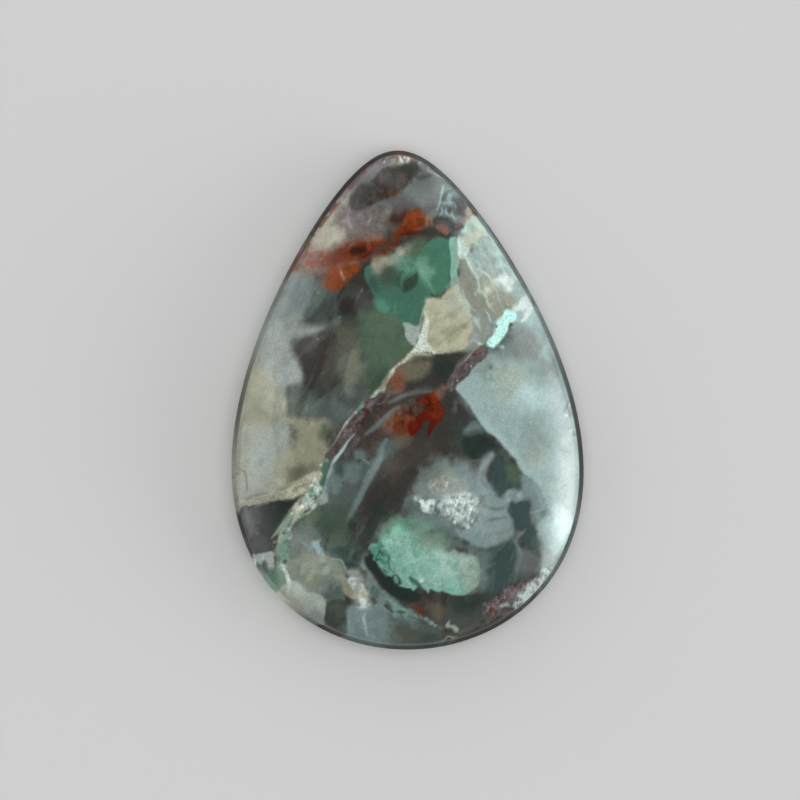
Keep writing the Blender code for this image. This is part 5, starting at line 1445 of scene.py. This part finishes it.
    rock.patch("lavender", 0.6, [(9.5, -8), (10, -8.4), (9.9, -9.2), (9.5, -9)], 0.4)
    rock.patch("ash", 0.4, [(10.4, -9.3), (10.8, -9.2), (10.9, -9.9), (10.5, -9.8)], 0.6)
    rock.patch("deep_teal", 0.35, [
        (8.1, -8.6), (8.6, -8.5), (9, -8.3), (9.6, -8.4), (9.6, -9.2), (9.8, -10), (10.1, -10.9),
        (10.2, -12), (9.6, -12.2), (8.9, -11.8), (8.5, -11.3), (8.9, -10.9), (8.4, -10.5), (8.4, -9.6),
        (8, -9.2)], 0.95, ragged=0.25)
    rock.patch("deep_teal", 0.25, [
        (6, -12.1), (7, -11.8), (7.9, -11.4), (8.4, -12), (8.5, -13), (8.2, -14), (7.8, -14.8),
        (7.2, -15.2), (6.6, -15.7), (5.9, -15.4), (5.9, -14.2), (5.8, -13.4),
        (6.1, -12.8)], 0.95, ragged=0.12)
    rock.patch("black_green", 1.0, [
        (4.6, -15.8), (6, -15.6), (6.4, -16.2), (5, -17), (3.8, -17.6), (2.9, -16.8), (3, -15.9)], 0.75)
    rock.vein("petal", 0.5, [
        (8.3, -11.6, 0.2), (8.7, -12.6, 0.4), (8.5, -13.6, 0.4), (8.2, -14.6, 0.2)], 0.7)
    rock.vein("fog", 0.12, [(8.5, -11.8, 0.08), (8.8, -12.7, 0.12), (8.5, -13.8, 0.08)], 0.6)
    rock.growths("blue_mist", 0.5, [
        (5.8, -12.2), (8.4, -11.4), (10.2, -11), (10.2, -12.4), (8.4, -14.6),
        (6.4, -15.8)], 2.2, 0.3, 0.3, lean=0.3, stretch=2.5)
    rock.vein("mist", 0.2, [(5.9, -13.5, 0.1), (6.3, -13.4, 0.2), (6.7, -13.2, 0.1)], 0.6)
    rock.vein("fog", 0.1, [(8.3, -11.5, 0.05), (8.7, -11.1, 0.12), (9.2, -10.6, 0.06)], 0.7)
    rock.vein("fog", 0.12, [(8.1, -11.1, 0.05), (8.3, -11.6, 0.1)], 0.6)
    rock.patch("petal", 0.8, [
        (8.7, -12.2), (9.8, -12.2), (10.3, -13), (10, -14.1), (9, -14.2), (8.5, -13.4)], 0.5)
    rock.patch("ash", 0.7, [
        (8.9, -12.3), (9.6, -12.3), (10.2, -12.8), (10.3, -13.8), (9.8, -14.3), (8.9, -14.4),
        (8.5, -13.6)], 0.7)
    rock.patch("moss", 0.6, [(8, -14.2), (9, -14.1), (9.2, -14.6), (8.4, -14.9), (7.8, -14.9)], 0.6)
    rock.patch("slate", 0.8, [(5.2, -12.2), (5.9, -12.2), (5.9, -13.4), (5.6, -14), (5.4, -13)], 0.7)
    rock.patch("mist", 0.7, [(3.4, -18.7), (4.4, -18.4), (5.2, -18.2), (4.8, -18.7), (4, -19)], 0.5)


def lay_milky_patch(rock):
    """The big pale cloud on the right, whose left edge comes up crisp to the surface, with a painted
    highlight over the right shoulder.
    """
    rock.patch("milk_blue", 0.1, [
        (4, 0.9), (4.4, 0.3), (4.9, -0.3), (5.3, -1), (5.7, -1.7), (6.05, -2.2), (6.4, -2.7), (7, -3.15),
        (7.5, -3.75), (7.9, -4.3), (8.5, -4.9), (8.8, -5.5), (9.3, -6.3), (10, -6.7), (10.4, -7.2),
        (10.7, -7.9), (10.95, -8.8), (11.4, -9.6), (12, -10.2), (15, -9), (15, 2), (12.4, 6), (10, 6),
        (8, 4), (6.9, 3.4), (5.6, 2.5), (4.9, 1.7)], ragged=0.05)
    rock.patch("milk_blue", 0.5, [
        (10.2, -10), (11, -9.4), (12, -9.8), (14, -10), (13, -13), (11.4, -15), (10.5, -14.2), (10.35, -13),
        (10.2, -12), (10.05, -11)], 0.95)
    rock.patch("mist", 1.2, [(10.2, -11.4), (11.2, -11.8), (11.6, -13), (11.2, -14.4), (10.4, -13.6)], 0.7)
    rock.vein("pale_blue", 0.5, [
        (5.6, -1.2, 0.1), (6.4, -2.2, 0.35), (7.4, -3.2, 0.4), (8.6, -4.6, 0.4), (9.3, -5.8, 0.5),
        (10.2, -6.6, 0.3), (10.9, -8, 0.15)], 0.6)
    rock.patch("mist", 1.4, [(8, 5.2), (10, 5), (11.2, 4), (10.4, 3), (9, 3), (7.4, 3), (7, 4)], 0.75)
    rock.patch("blue_mist", 1.0, [(7.2, 4.4), (8.2, 4.8), (9, 4.2), (8.6, 3.2), (7.4, 3.2)], 0.6)
    rock.patch("mist", 0.7, [(5.4, 2.4), (6.8, 3.2), (7.2, 2.6), (6.6, 2), (5.2, 1.7)], 0.5)
    rock.patch("slate", 0.5, [(8, 4.9), (8.6, 4.8), (8.4, 4.2), (7.6, 3.7), (7.2, 3.9), (7.8, 4.4)], 0.5)
    rock.patch("fog", 1.2, [(9, 4.6), (10.6, 4.6), (11, 3.6), (10, 3.2)], 0.4)
    rock.patch("pale_blue", 0.8, [(9.8, 6.2), (11, 6.8), (11.6, 5.8), (10.8, 5.4)], 0.7)
    rock.vein("pale_blue", 0.6, [(10.6, 2.6, 0.2), (11, 3.2, 0.35), (11.6, 4, 0.4)], 0.6)
    rock.patch("mist", 0.8, [(11, 2.8), (12, 2.8), (12.4, 1.6), (11.4, 1.6)], 0.5)
    rock.patch("sand", 1.8, [(7.2, 0.6), (7.6, 2), (8.6, 2.8), (9.4, 1.8), (8.8, 0.4), (8, -0.6)], 0.35)
    rock.vein("tan", 0.3, [(7.4, -0.6, 0.1), (8, 0, 0.2), (8.6, 0.6, 0.15), (9.2, 1.6, 0.1)], 0.3)
    rock.patch("pale_blue", 1.2, [
        (9.4, 0.4), (10.4, 0.2), (11.4, 0.6), (12, -0.6), (11, -1.6), (10, -0.8)], 0.5)
    rock.patch("mist", 1.8, [(9.2, -1.8), (10.4, -1.6), (10.8, -3), (10.2, -4.2), (9.2, -3.6)], 0.35)
    rock.patch("sand", 1.6, [(9.8, -4.2), (10.8, -4.4), (10.8, -5.6), (9.8, -5.4)], 0.3)
    rock.patch("leaf", 0.5, [(6.1, 1.5), (6.5, 1.8), (6.9, 1.3), (6.4, 1.1)], 0.45, ragged=0.2)
    rock.specks("leaf", 0.4, [(6.9, 0.45, 0.12), (6.75, 1.75, 0.1)], 0.4)
    rock.specks("slate", 0.3, [(6.85, 2.35, 0.15), (7.35, 4.85, 0.1)], 0.6)
    rock.specks("ice", 0.1, [
        (6.6, 1.6, 0.07), (7.35, 0.8, 0.05), (10.1, 4.25, 0.05), (9.9, -2.1, 0.05)], 0.7)
    # The bone over the right shoulder is partly the milky stone and partly a painted highlight of the
    # window's reflection
    rock.patch("bone", 1.4, [
        (11.2, -7.6), (11.4, -9.4), (11.8, -10.8), (12.25, -11.9), (13.4, -11.2), (14.2, -9), (14.4, -5),
        (14, -1.6), (13.2, -2.6), (12.4, -5), (11.7, -6.4)], 0.45)
    rock.patch("bone", 0.25, [
        (11.35, -9), (11.55, -9.8), (11.9, -10.9), (12.3, -11.9), (13, -11.4), (13.2, -10.4), (12.6, -9.2),
        (11.9, -8.7)], 0.3)
    rock.patch("pale_blue", 0.9, [
        (10.4, -10.2), (11.2, -9.8), (12, -10.8), (11.8, -12.4), (10.8, -12.2)], 0.55)
    rock.vein("slate", 0.2, [(12.1, -4.5, 0.05), (12.4, -4.45, 0.08)], 0.35)
    rock.vein("slate", 0.25, [(12.2, -7.4, 0.05), (12.6, -7.2, 0.12)], 0.3)


def lay_lower_right_rim(rock):
    rock.patch("bark", 0.3, [
        (5.2, -18.3), (5.6, -18), (6.4, -17.4), (7.2, -17), (8.2, -17), (8.6, -17.6), (7.4, -18.8),
        (5, -19.8), (3.4, -20), (3.6, -19)], 0.95, ragged=0.2)
    rock.patch("mauve", 0.2, [
        (7.4, -15.2), (8.3, -15), (9, -14.8), (9.8, -14.6), (10.4, -14.1), (10.6, -14.8), (9.6, -15.3),
        (9, -15.9), (8.3, -16.3), (7.6, -16.6), (6.8, -16.8), (6, -16.9), (5.7, -16.5), (6.4, -15.9),
        (7, -15.7)], ragged=0.2)
    rock.patch("mauve", 0.2, [
        (5.5, -18), (6.2, -17.5), (7, -17), (7.8, -16.9), (8, -17.4), (7.2, -17.8), (6.4, -18),
        (5.6, -18.4)], 0.7, ragged=0.3)
    grains = [
        (7.4, -15.2), (9.8, -14.6), (10.6, -14.6), (9, -15.9), (7.6, -16.7), (5.8, -17.6), (5.6, -16.5),
        (6.6, -15.9)]
    rock.growths("brick", 0.2, grains, 4.0, 0.3, 0.35)
    rock.growths("maroon", 0.2, grains, 4.5, 0.3, 0.4)
    rock.growths("milk", 0.2, grains, 5.0, 0.1, 0.5)
    rock.growths("lavender", 0.2, grains, 4.5, 0.35, 0.7)
    rock.patch("lavender", 0.3, [
        (7.6, -15.3), (8.6, -15.1), (9.4, -14.9), (8.8, -15.6), (8, -16)], 0.35, ragged=0.3)
    rock.patch("lump", 0.12, [
        (10.2, -14.3), (10.6, -13.9), (11.6, -13.8), (12, -14.6), (11, -15.8), (10, -16.6), (9, -17.6),
        (8.4, -17.2), (8.15, -16.8), (8.3, -16.4), (8.9, -16), (9.2, -15.4), (9.8, -15.1),
        (10.2, -14.8)], ragged=0.2)
    lumps = [
        (10.2, -14.3), (11.2, -13.7), (12, -14.6), (10, -16.6), (8.6, -17.6), (8.2, -16.8), (9.2, -15.6)]
    rock.growths("bone", 0.15, lumps, 3.0, 0.4, 0.8)
    rock.growths("mauve", 0.12, lumps, 2.2, 0.3, 0.75)
    rock.growths("maroon", 0.3, [
        (5, -18.6), (8.6, -17.4), (8, -18.6), (4, -19.8), (3.2, -19.4)], 3.5, 0.4, 0.8)
    rock.vein("lump", 0.15, [(6.9, -16.75, 0.15), (7.4, -16.6, 0.3), (7.8, -16.7, 0.2)], 0.7)
    rock.specks("bone", 0.12, [
        (10.8, -14.6, 0.14), (10.2, -15.3, 0.14), (9.4, -16.15, 0.13), (9.9, -15.6, 0.1), (8.9, -16.7, 0.1),
        (11, -14.2, 0.12)], 0.8)
    rock.vein("lump", 0.15, [
        (8.1, -16.7, 0.3), (8.7, -16, 0.8), (9.4, -15.5, 0.8), (10.2, -14.9, 0.5),
        (10.8, -14.3, 0.6)], 0.85, ragged=0.25)
    rock.growths("bone", 0.15, [
        (8.2, -16.8), (8.2, -16), (9.2, -15), (10.6, -14.2), (10.6, -15.4), (9.2, -16.8)], 3.0, 0.35, 0.7)
    rock.growths("mauve", 0.12, [
        (8.2, -16.8), (8.2, -16), (9.2, -15), (10.6, -14.2), (10.6, -15.4), (9.2, -16.8)], 2.6, 0.2, 0.7)
    rock.growths("mauve", 0.15, [
        (5, -18.8), (5.4, -17.6), (7, -17), (8.4, -17.2), (7.4, -18.2), (6, -19)], 3.2, 0.4, 0.6)
    rock.specks("mauve", 0.12, [
        (10.4, -14.3, 0.1), (9.7, -16.6, 0.12), (10.7, -15.1, 0.1), (8.7, -16.2, 0.08)], 0.8)
    rock.vein("orange", 0.1, [(6.85, -16.7, 0.04), (6.4, -17.1, 0.1), (6.05, -17.5, 0.06)], 0.6)
    rock.specks("maroon", 0.15, [
        (5.8, -18.3, 0.18), (6.4, -18.5, 0.14), (4, -19.2, 0.2), (5.4, -18.6, 0.14)], 0.8)
    rock.vein("black_green", 0.2, [
        (4.6, -18.9, 0.3), (5.6, -18.5, 0.5), (6.5, -18.05, 0.5), (7.6, -17.5, 0.3)], 0.8, ragged=0.3)


def lay_right_chips(rock):
    rock.patch("milk", 0.1, [
        (12.9, -0.7), (13.2, -0.2), (14.4, -0.2), (14.6, -3.2), (13.4, -3.25), (13.05, -2.7), (13.2, -2.1),
        (12.95, -1.6)], 0.9, ragged=0.12)
    rock.specks("bone", 0.1, [
        (12.8, -1.7, 0.14), (13.6, -1.9, 0.12), (13.15, -2.9, 0.14), (13.1, -0.8, 0.12),
        (13.3, -1.2, 0.08)], 0.9)
    rock.vein("slate", 0.12, [(12.6, -1.4, 0.05), (12.85, -1, 0.12), (13, -0.6, 0.05)], 0.6)
    rock.specks("slate", 0.15, [(13.2, -1.75, 0.14), (13.6, -2.5, 0.12), (13.4, -0.9, 0.1)], 0.6)
    rock.specks("sea_green", 0.15, [(13.65, -2.4, 0.14), (13.4, -3.2, 0.1), (13.55, -1.5, 0.08)], 0.6)
    rock.vein("emerald", 0.12, [
        (13.5, -9.9, 0.08), (13.25, -10.6, 0.28), (12.95, -11.4, 0.34), (12.55, -12.1, 0.3),
        (12.2, -12.8, 0.1)], ragged=0.15)
    rock.vein("sea_green", 0.1, [
        (13.2, -10.6, 0.08), (12.95, -11.2, 0.16), (12.6, -11.9, 0.1)], 0.9, ragged=0.15)
    rock.patch("ice", 0.3, [(13.1, -1.8), (13.8, -1.8), (14, -2.8), (13.3, -2.8)], 0.6)
    rock.vein("sea_green", 0.2, [(9.2, 9.9, 0.3), (9.7, 9.2, 0.4), (10, 8.7, 0.2)], 0.35)
    rock.specks("ice", 0.1, [(9.65, 9.35, 0.12), (9.75, 9.2, 0.08)], 0.7)


def lay_crumbly_tip(rock):
    tip = [(-1.6, 18.9), (-1.5, 20.4), (0, 20.8), (1.6, 20.2), (1.8, 19.2), (1.2, 18.9), (0, 18.9)]
    rock.patch("bronze", 0.25, tip, 0.85, ragged=0.2)
    rock.patch("brick", 0.25, [
        (-1.2, 19.3), (-1, 20.6), (0.4, 20.8), (1.4, 20.2), (1.4, 19.3), (0, 19.35)], 0.8)
    rock.growths("rust", 0.2, [
        (-1.2, 19.3), (-1, 20.6), (0.4, 20.8), (1.4, 20.2), (1.4, 19.2), (0, 19.3)], 2.6, 0.6, 0.9)
    rock.growths("bark", 0.2, tip, 3.5, 0.25, 0.7)
    rock.patch("orange", 0.3, [(-0.5, 20.2), (0.5, 20.2), (0.8, 19.7), (-0.2, 19.55)], 0.5, ragged=0.15)
    rock.growths("fibre", 0.15, [
        (-0.9, 18.8), (-0.6, 19.3), (0.8, 19.35), (1.3, 19.1), (0.6, 18.85)], 2.2, 0.6, 0.75)
    rock.growths("lavender", 0.15, [
        (-2.2, 18.7), (-1.8, 19.8), (-0.5, 20), (-0.4, 19), (-1.2, 18.7)], 2.5, 0.5, 0.8)
    rock.vein("bone", 0.08, [(0.2, 19.45, 0.08), (0.3, 19.2, 0.2), (0.42, 18.98, 0.16)])
    rock.specks("bone", 0.08, [(0.9, 19.22, 0.14), (0.6, 19.35, 0.09), (-1.02, 18.98, 0.08)])
    rock.vein("brick", 0.15, [(-4.4, 16.6, 0.1), (-3.6, 17.35, 0.2), (-2.6, 18.3, 0.15)], 0.5, ragged=0.15)
    edge = [
        (-8.6, 12.6), (-6.4, 15.4), (-4, 17.9), (-2, 19.7), (-1.6, 19.1), (-3.4, 17.35), (-5.4, 15),
        (-8, 11.8)]
    rock.growths("bark", 0.2, edge, 2.0, 0.45, 0.7)
    rock.growths("rust", 0.15, edge, 2.4, 0.35, 0.8)
    rock.vein("smoke_brown", 0.4, [
        (1.7, 19.3, 0.3), (2.7, 18.7, 0.4), (3.7, 17.8, 0.4), (4.6, 16.9, 0.2)], 0.55)
    rock.growths("rust", 0.15, [
        (-1.2, 19.7), (-0.6, 20.6), (0.8, 20.6), (1.6, 19.9), (1, 19.6), (0, 19.7)], 3.0, 0.4, 0.8)


def lay_veils(rock):
    """Faint clouds deep in the stone, and a painted highlight on the right shoulder."""
    # The lightening at (12.3, -10.4) is a painted highlight on the right shoulder, not a cloud
    rock.veils([
        (-6, -12.2, 1.7, 0.28), (-8.9, -14.4, 1.6, 0.22), (-5.9, -16.7, 1, 0.4), (-8.5, -8.6, 1.1, 0.24),
        (-6.5, -7.6, 1, 0.18), (-7.6, -0.8, 0.8, 0.25), (-1.5, -5, 1.1, 0.28), (-0.5, 0.1, 0.9, 0.25),
        (3.9, -8.4, 2.2, 0.15), (-2, -9.8, 1.1, 0.25), (9.6, 0, 1.4, 0.16), (11.5, -12.9, 1, 0.15),
        (11.6, -5.8, 1, 0.12), (12.3, -10.4, 1.4, 0.22), (7.5, 9, 1, 0.15), (7.5, 12, 1, 0.13),
        (1.4, 10, 0.8, 0.2), (-0.6, 15.1, 0.8, 0.22), (-7.4, 5, 0.8, 0.2)])
    rock.veils([
        (2.2, 18, 1.2, -0.28), (4.5, 15, 1.1, -0.22), (-3, 17, 1.4, -0.24), (-1.5, 16, 0.9, -0.18),
        (-0.5, 19, 0.7, -0.16), (-1.5, 11, 0.9, -0.1), (-5.5, 7, 1.3, -0.25), (-2, 1.5, 1.4, -0.2),
        (11.5, 2, 1.3, -0.17), (1.7, -5.8, 1, -0.2), (-11.5, 0, 1.3, -0.13), (-8.5, -5.6, 0.8, -0.18),
        (-12.3, -8, 1.1, -0.17), (-10.5, -8, 1, -0.25)])


def balance_light(rock, places):
    """The minerals were judged by their looks in window light, which falls more brightly on the right."""
    to_the_right = np.clip((places[:, 0] - 3) / 8, 0, 1)
    rock.colour *= 1 - WINDOW_GAIN * smooth_step(to_the_right)[:, None]


def paint_girdle_shading_and_dullness(rock, places):
    """The girdle and the back are ground but not polished, and the girdle carries painted shade, darker in
    most places and lighter in a few.
    """
    x, y, z = places.T
    everywhere = np.arange(len(x))
    on_back = z < 0.03
    below = np.clip((GIRDLE_TOP - z) / 0.4, 0, 1)
    angle = np.degrees(np.arccos(np.clip(2 * y / LENGTH, -1, 1))) * np.sign(x)
    # Deep teal on the right of the girdle is painted shade; the tan on the left is the stone's own colour
    rock.lay("deep_teal", everywhere, 0.7 * below * np.exp(-(((angle - 103) / 14) ** 2)))
    rock.lay("tan", everywhere, 0.4 * below * np.exp(-(((angle + 90) / 14) ** 2)))
    # Painted light and shade round the girdle, from the table of girdle shading, left off the back
    painted_shading = np.interp(angle, *np.array(GIRDLE_PAINTED_SHADING).T)
    rock.colour *= 1 - ((1 - painted_shading) * below * ~on_back)[:, None]
    dull = DETAILS.index("dull")
    rock.details[:, dull] = np.maximum(rock.details[:, dull], 1.6 * below)


# From the deepest to the last
LAYERS = (
    lay_deep_clouds, lay_left_side, lay_haze, lay_tip, lay_rust_band, lay_greens, lay_upper_right,
    lay_wisps_under_tip, lay_beige_and_white_vein, lay_lower_centre, lay_druse, lay_milky_patch, lay_heart,
    lay_main_veins, lay_fibrous_branches, lay_left_chip, lay_lower_left, lay_green_cloud,
    lay_lower_right_rim, lay_right_chips, lay_crumbly_tip, lay_veils)


def srgb_to_linear(colour):
    return np.where(colour <= 0.04045, colour / 12.92, ((colour + 0.055) / 1.055) ** 2.4)


def add_attribute(mesh, name, values):
    attribute = mesh.attributes.new(name, "FLOAT", "POINT")
    attribute.data.foreach_set("value", values.astype(np.float32))


def make_stone():
    places, faces = stone_mesh()
    rock = Rock(places)
    for layer in LAYERS:
        layer(rock)
    balance_light(rock, places)
    paint_girdle_shading_and_dullness(rock, places)

    mesh = bpy.data.meshes.new("chrysocolla_stone")
    mesh.from_pydata((places * MM).tolist(), [], faces)
    mesh.update()
    colour = np.column_stack([srgb_to_linear(rock.colour), np.ones(len(places))])
    attribute = mesh.attributes.new("rock_colour", "FLOAT_COLOR", "POINT")
    attribute.data.foreach_set("color", colour.astype(np.float32).ravel())
    for column, name in enumerate(DETAILS):
        add_attribute(mesh, name, rock.details[:, column])
    mesh.shade_smooth()
    stone = bpy.data.objects.new("chrysocolla_stone", mesh)
    bpy.context.scene.collection.objects.link(stone)
    return stone


class NodeTree:
    """Short calls for building a material: numbers and colours are set, and sockets are linked."""

    def __init__(self, material):
        material.use_nodes = True
        self.tree = material.node_tree

    def add(self, kind, inputs=None, **settings):
        node = self.tree.nodes.new(kind)
        for name, value in settings.items():
            setattr(node, name, value)
        for name, value in (inputs or {}).items():
            if isinstance(value, bpy.types.NodeSocket):
                self.tree.links.new(value, node.inputs[name])
            else:
                node.inputs[name].default_value = value
        return node

    def math(self, operation, *values, clamp=False):
        node = self.add("ShaderNodeMath", dict(enumerate(values)), operation=operation, use_clamp=clamp)
        return node.outputs[0]

    def attribute(self, name):
        return self.add("ShaderNodeAttribute", attribute_name=name)

    def noise(self, place, scale, detail, roughness=0.55):
        inputs = {"Vector": place, "Scale": scale, "Detail": detail, "Roughness": roughness}
        return self.add("ShaderNodeTexNoise", inputs)

    def ramp(self, value, low, high, to_low=0.0, to_high=1.0):
        inputs = {"Value": value, "From Min": low, "From Max": high, "To Min": to_low, "To Max": to_high}
        return self.add("ShaderNodeMapRange", inputs, interpolation_type="SMOOTHSTEP").outputs["Result"]


def stone_material():
    material = bpy.data.materials.new("chrysocolla_chalcedony")
    nodes = NodeTree(material)
    shader = nodes.tree.nodes["Principled BSDF"]
    rock_colour = nodes.attribute("rock_colour").outputs["Color"]
    mottle, grain, fibre, sugar, dull = (nodes.attribute(name).outputs["Fac"] for name in DETAILS)

    # Places on the stone in mm, so that every scale below counts lumps to the mm
    coordinates = nodes.add("ShaderNodeTexCoord").outputs["Object"]
    place = nodes.add("ShaderNodeVectorMath", {0: coordinates, 3: 1 / MM}, operation="SCALE").outputs[0]
    cloud = nodes.noise(place, 1.3, 6, 0.62).outputs["Fac"]
    grit = nodes.noise(place, 8.0, 3, 0.7).outputs["Fac"]
    haze = nodes.noise(place, 5.0, 4, 0.7).outputs["Fac"]
    lumps = {"Vector": place, "Rotation": (0, 0, STREAK_TURN), "Scale": (1 / 2.4, 1 / 0.45, 1.0)}
    slanted = nodes.add("ShaderNodeMapping", lumps, vector_type="TEXTURE").outputs["Vector"]
    streaks = nodes.noise(slanted, 1.0, 5, 0.6).outputs["Fac"]
    dust = nodes.noise(place, 10.0, 2, 0.9).outputs["Fac"]
    bend = nodes.noise(place, 2.5, 3).outputs["Color"]
    inputs = {0: bend, 1: (0.5, 0.5, 0.5), 2: place}
    bent = nodes.add("ShaderNodeVectorMath", inputs, operation="MULTIPLY_ADD").outputs[0]
    inputs = {"Vector": bent, "Scale": 3.6}
    cracks = nodes.add("ShaderNodeTexVoronoi", inputs, feature="DISTANCE_TO_EDGE").outputs["Distance"]
    crystals = nodes.add("ShaderNodeTexVoronoi", {"Vector": place, "Scale": 6.5, "Detail": 1.0})
    crystal = nodes.add("ShaderNodeSeparateColor", {"Color": crystals.outputs["Color"]}).outputs[0]

    # Brightness of the fine detail, each kind as strong as the mesh says
    def swing(value, amount, strength):
        centred = nodes.math("SUBTRACT", value, 0.5)
        return nodes.math("MULTIPLY_ADD", nodes.math("MULTIPLY", centred, strength), amount, 1.0)

    crack = nodes.math("ADD", nodes.ramp(cracks, 0.0, 0.09, -0.5, 0.5), 0.5)
    light = swing(cloud, mottle, 2.4)
    for value, amount, strength in (
            (haze, 1.0, 0.30), (streaks, 1.0, 0.28), (dust, 1.0, 0.95), (grit, grain, 2.4),
            (crystal, sugar, 0.75), (crack, fibre, 0.5), (grit, fibre, 1.1)):
        light = nodes.math("MULTIPLY", light, swing(value, amount, strength))
    light = nodes.math("MAXIMUM", light, 0.05)
    scaled = nodes.add("ShaderNodeVectorMath", {0: rock_colour, 3: light}, operation="SCALE").outputs[0]
    nodes.tree.links.new(scaled, shader.inputs["Base Color"])

    roughness = nodes.math("MULTIPLY_ADD", dull, 0.5, 0.06)
    roughness = nodes.math("MULTIPLY_ADD", grain, 0.12, roughness)
    nodes.tree.links.new(roughness, shader.inputs["Roughness"])
    shader.inputs["IOR"].default_value = POLISH_IOR

    pitted = nodes.math("ADD", grain, nodes.math("ADD", fibre, nodes.math("MULTIPLY", dull, 0.6)))
    height = nodes.math("MULTIPLY", grit, pitted)
    bump = nodes.add("ShaderNodeBump", {"Strength": 0.25, "Distance": 0.03 * MM, "Height": height})
    nodes.tree.links.new(bump.outputs["Normal"], shader.inputs["Normal"])
    return material


def make_floor():
    bpy.ops.mesh.primitive_plane_add(size=FLOOR_SIZE, location=(0, 0, 0))
    floor = bpy.context.object
    floor.name = "floor"
    material = bpy.data.materials.new("pale_floor")
    material.use_nodes = True
    shader = material.node_tree.nodes["Principled BSDF"]
    shader.inputs["Base Color"].default_value = FLOOR_COLOUR
    shader.inputs["Roughness"].default_value = 0.7
    floor.data.materials.append(material)


def make_studio():
    """Soft light from all round, brightest in a wide window low on the right, and faint straight above."""
    world = bpy.data.worlds.new("studio")
    nodes = NodeTree(world)
    direction = nodes.add("ShaderNodeTexCoord").outputs["Generated"]
    parts = nodes.add("ShaderNodeSeparateXYZ", {"Vector": direction}).outputs
    height = parts["Z"]
    azimuth = math.radians(WINDOW_AZIMUTH)
    towards = (math.cos(azimuth), math.sin(azimuth), 0.0)
    facing = nodes.add("ShaderNodeVectorMath", {0: direction, 1: towards}, operation="DOT_PRODUCT")
    walls = nodes.ramp(height, 0.80, 0.30, to_high=WALL_LIGHT)
    walls = nodes.math("MULTIPLY", walls, nodes.ramp(parts["Y"], -0.75, 0.0, to_low=0.15))
    window = nodes.ramp(height, 0.60, 0.26)
    window = nodes.math("MULTIPLY", window, nodes.ramp(height, 0.02, 0.22, to_low=0.5))
    window = nodes.math("MULTIPLY", window, nodes.ramp(facing.outputs["Value"], 0.78, 0.94))
    light = nodes.math("ADD", nodes.math("MULTIPLY_ADD", window, WINDOW_LIGHT, walls), CEILING_LIGHT)
    background = nodes.tree.nodes["Background"]
    background.inputs["Color"].default_value = STUDIO_COLOUR
    nodes.tree.links.new(light, background.inputs["Strength"])
    bpy.context.scene.world = world
    # A broad lamp overhead, kept out of the polish so that it doesn't veil the dark stone
    lamp = bpy.data.lights.new("fill", "AREA")
    lamp.energy = FILL_LIGHT
    lamp.size = 1.2
    fill = bpy.data.objects.new("fill", lamp)
    fill.location = (0.1, 0.0, 1.0)
    fill.visible_glossy = False
    fill.visible_camera = False
    bpy.context.scene.collection.objects.link(fill)
    bpy.context.scene.view_settings.view_transform = "Standard"


def make_camera():
    """Straight above the stone, as in the photograph."""
    data = bpy.data.cameras.new("camera")
    data.lens = LENS
    camera = bpy.data.objects.new("camera", data)
    camera.rotation_euler = (0, 0, -ROLL)
    distance = FRAME_WIDTH * data.lens / data.sensor_width
    left = STONE_RIGHT_OF_MIDDLE * math.cos(ROLL)
    up = STONE_RIGHT_OF_MIDDLE * math.sin(ROLL)
    camera.location = (-left, up, distance)
    bpy.context.scene.collection.objects.link(camera)
    bpy.context.scene.camera = camera


def main():
    stone = make_stone()
    stone.data.materials.append(stone_material())
    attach(stone, "root")
    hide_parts("cabochon")
    make_floor()
    make_studio()
    make_camera()


main()
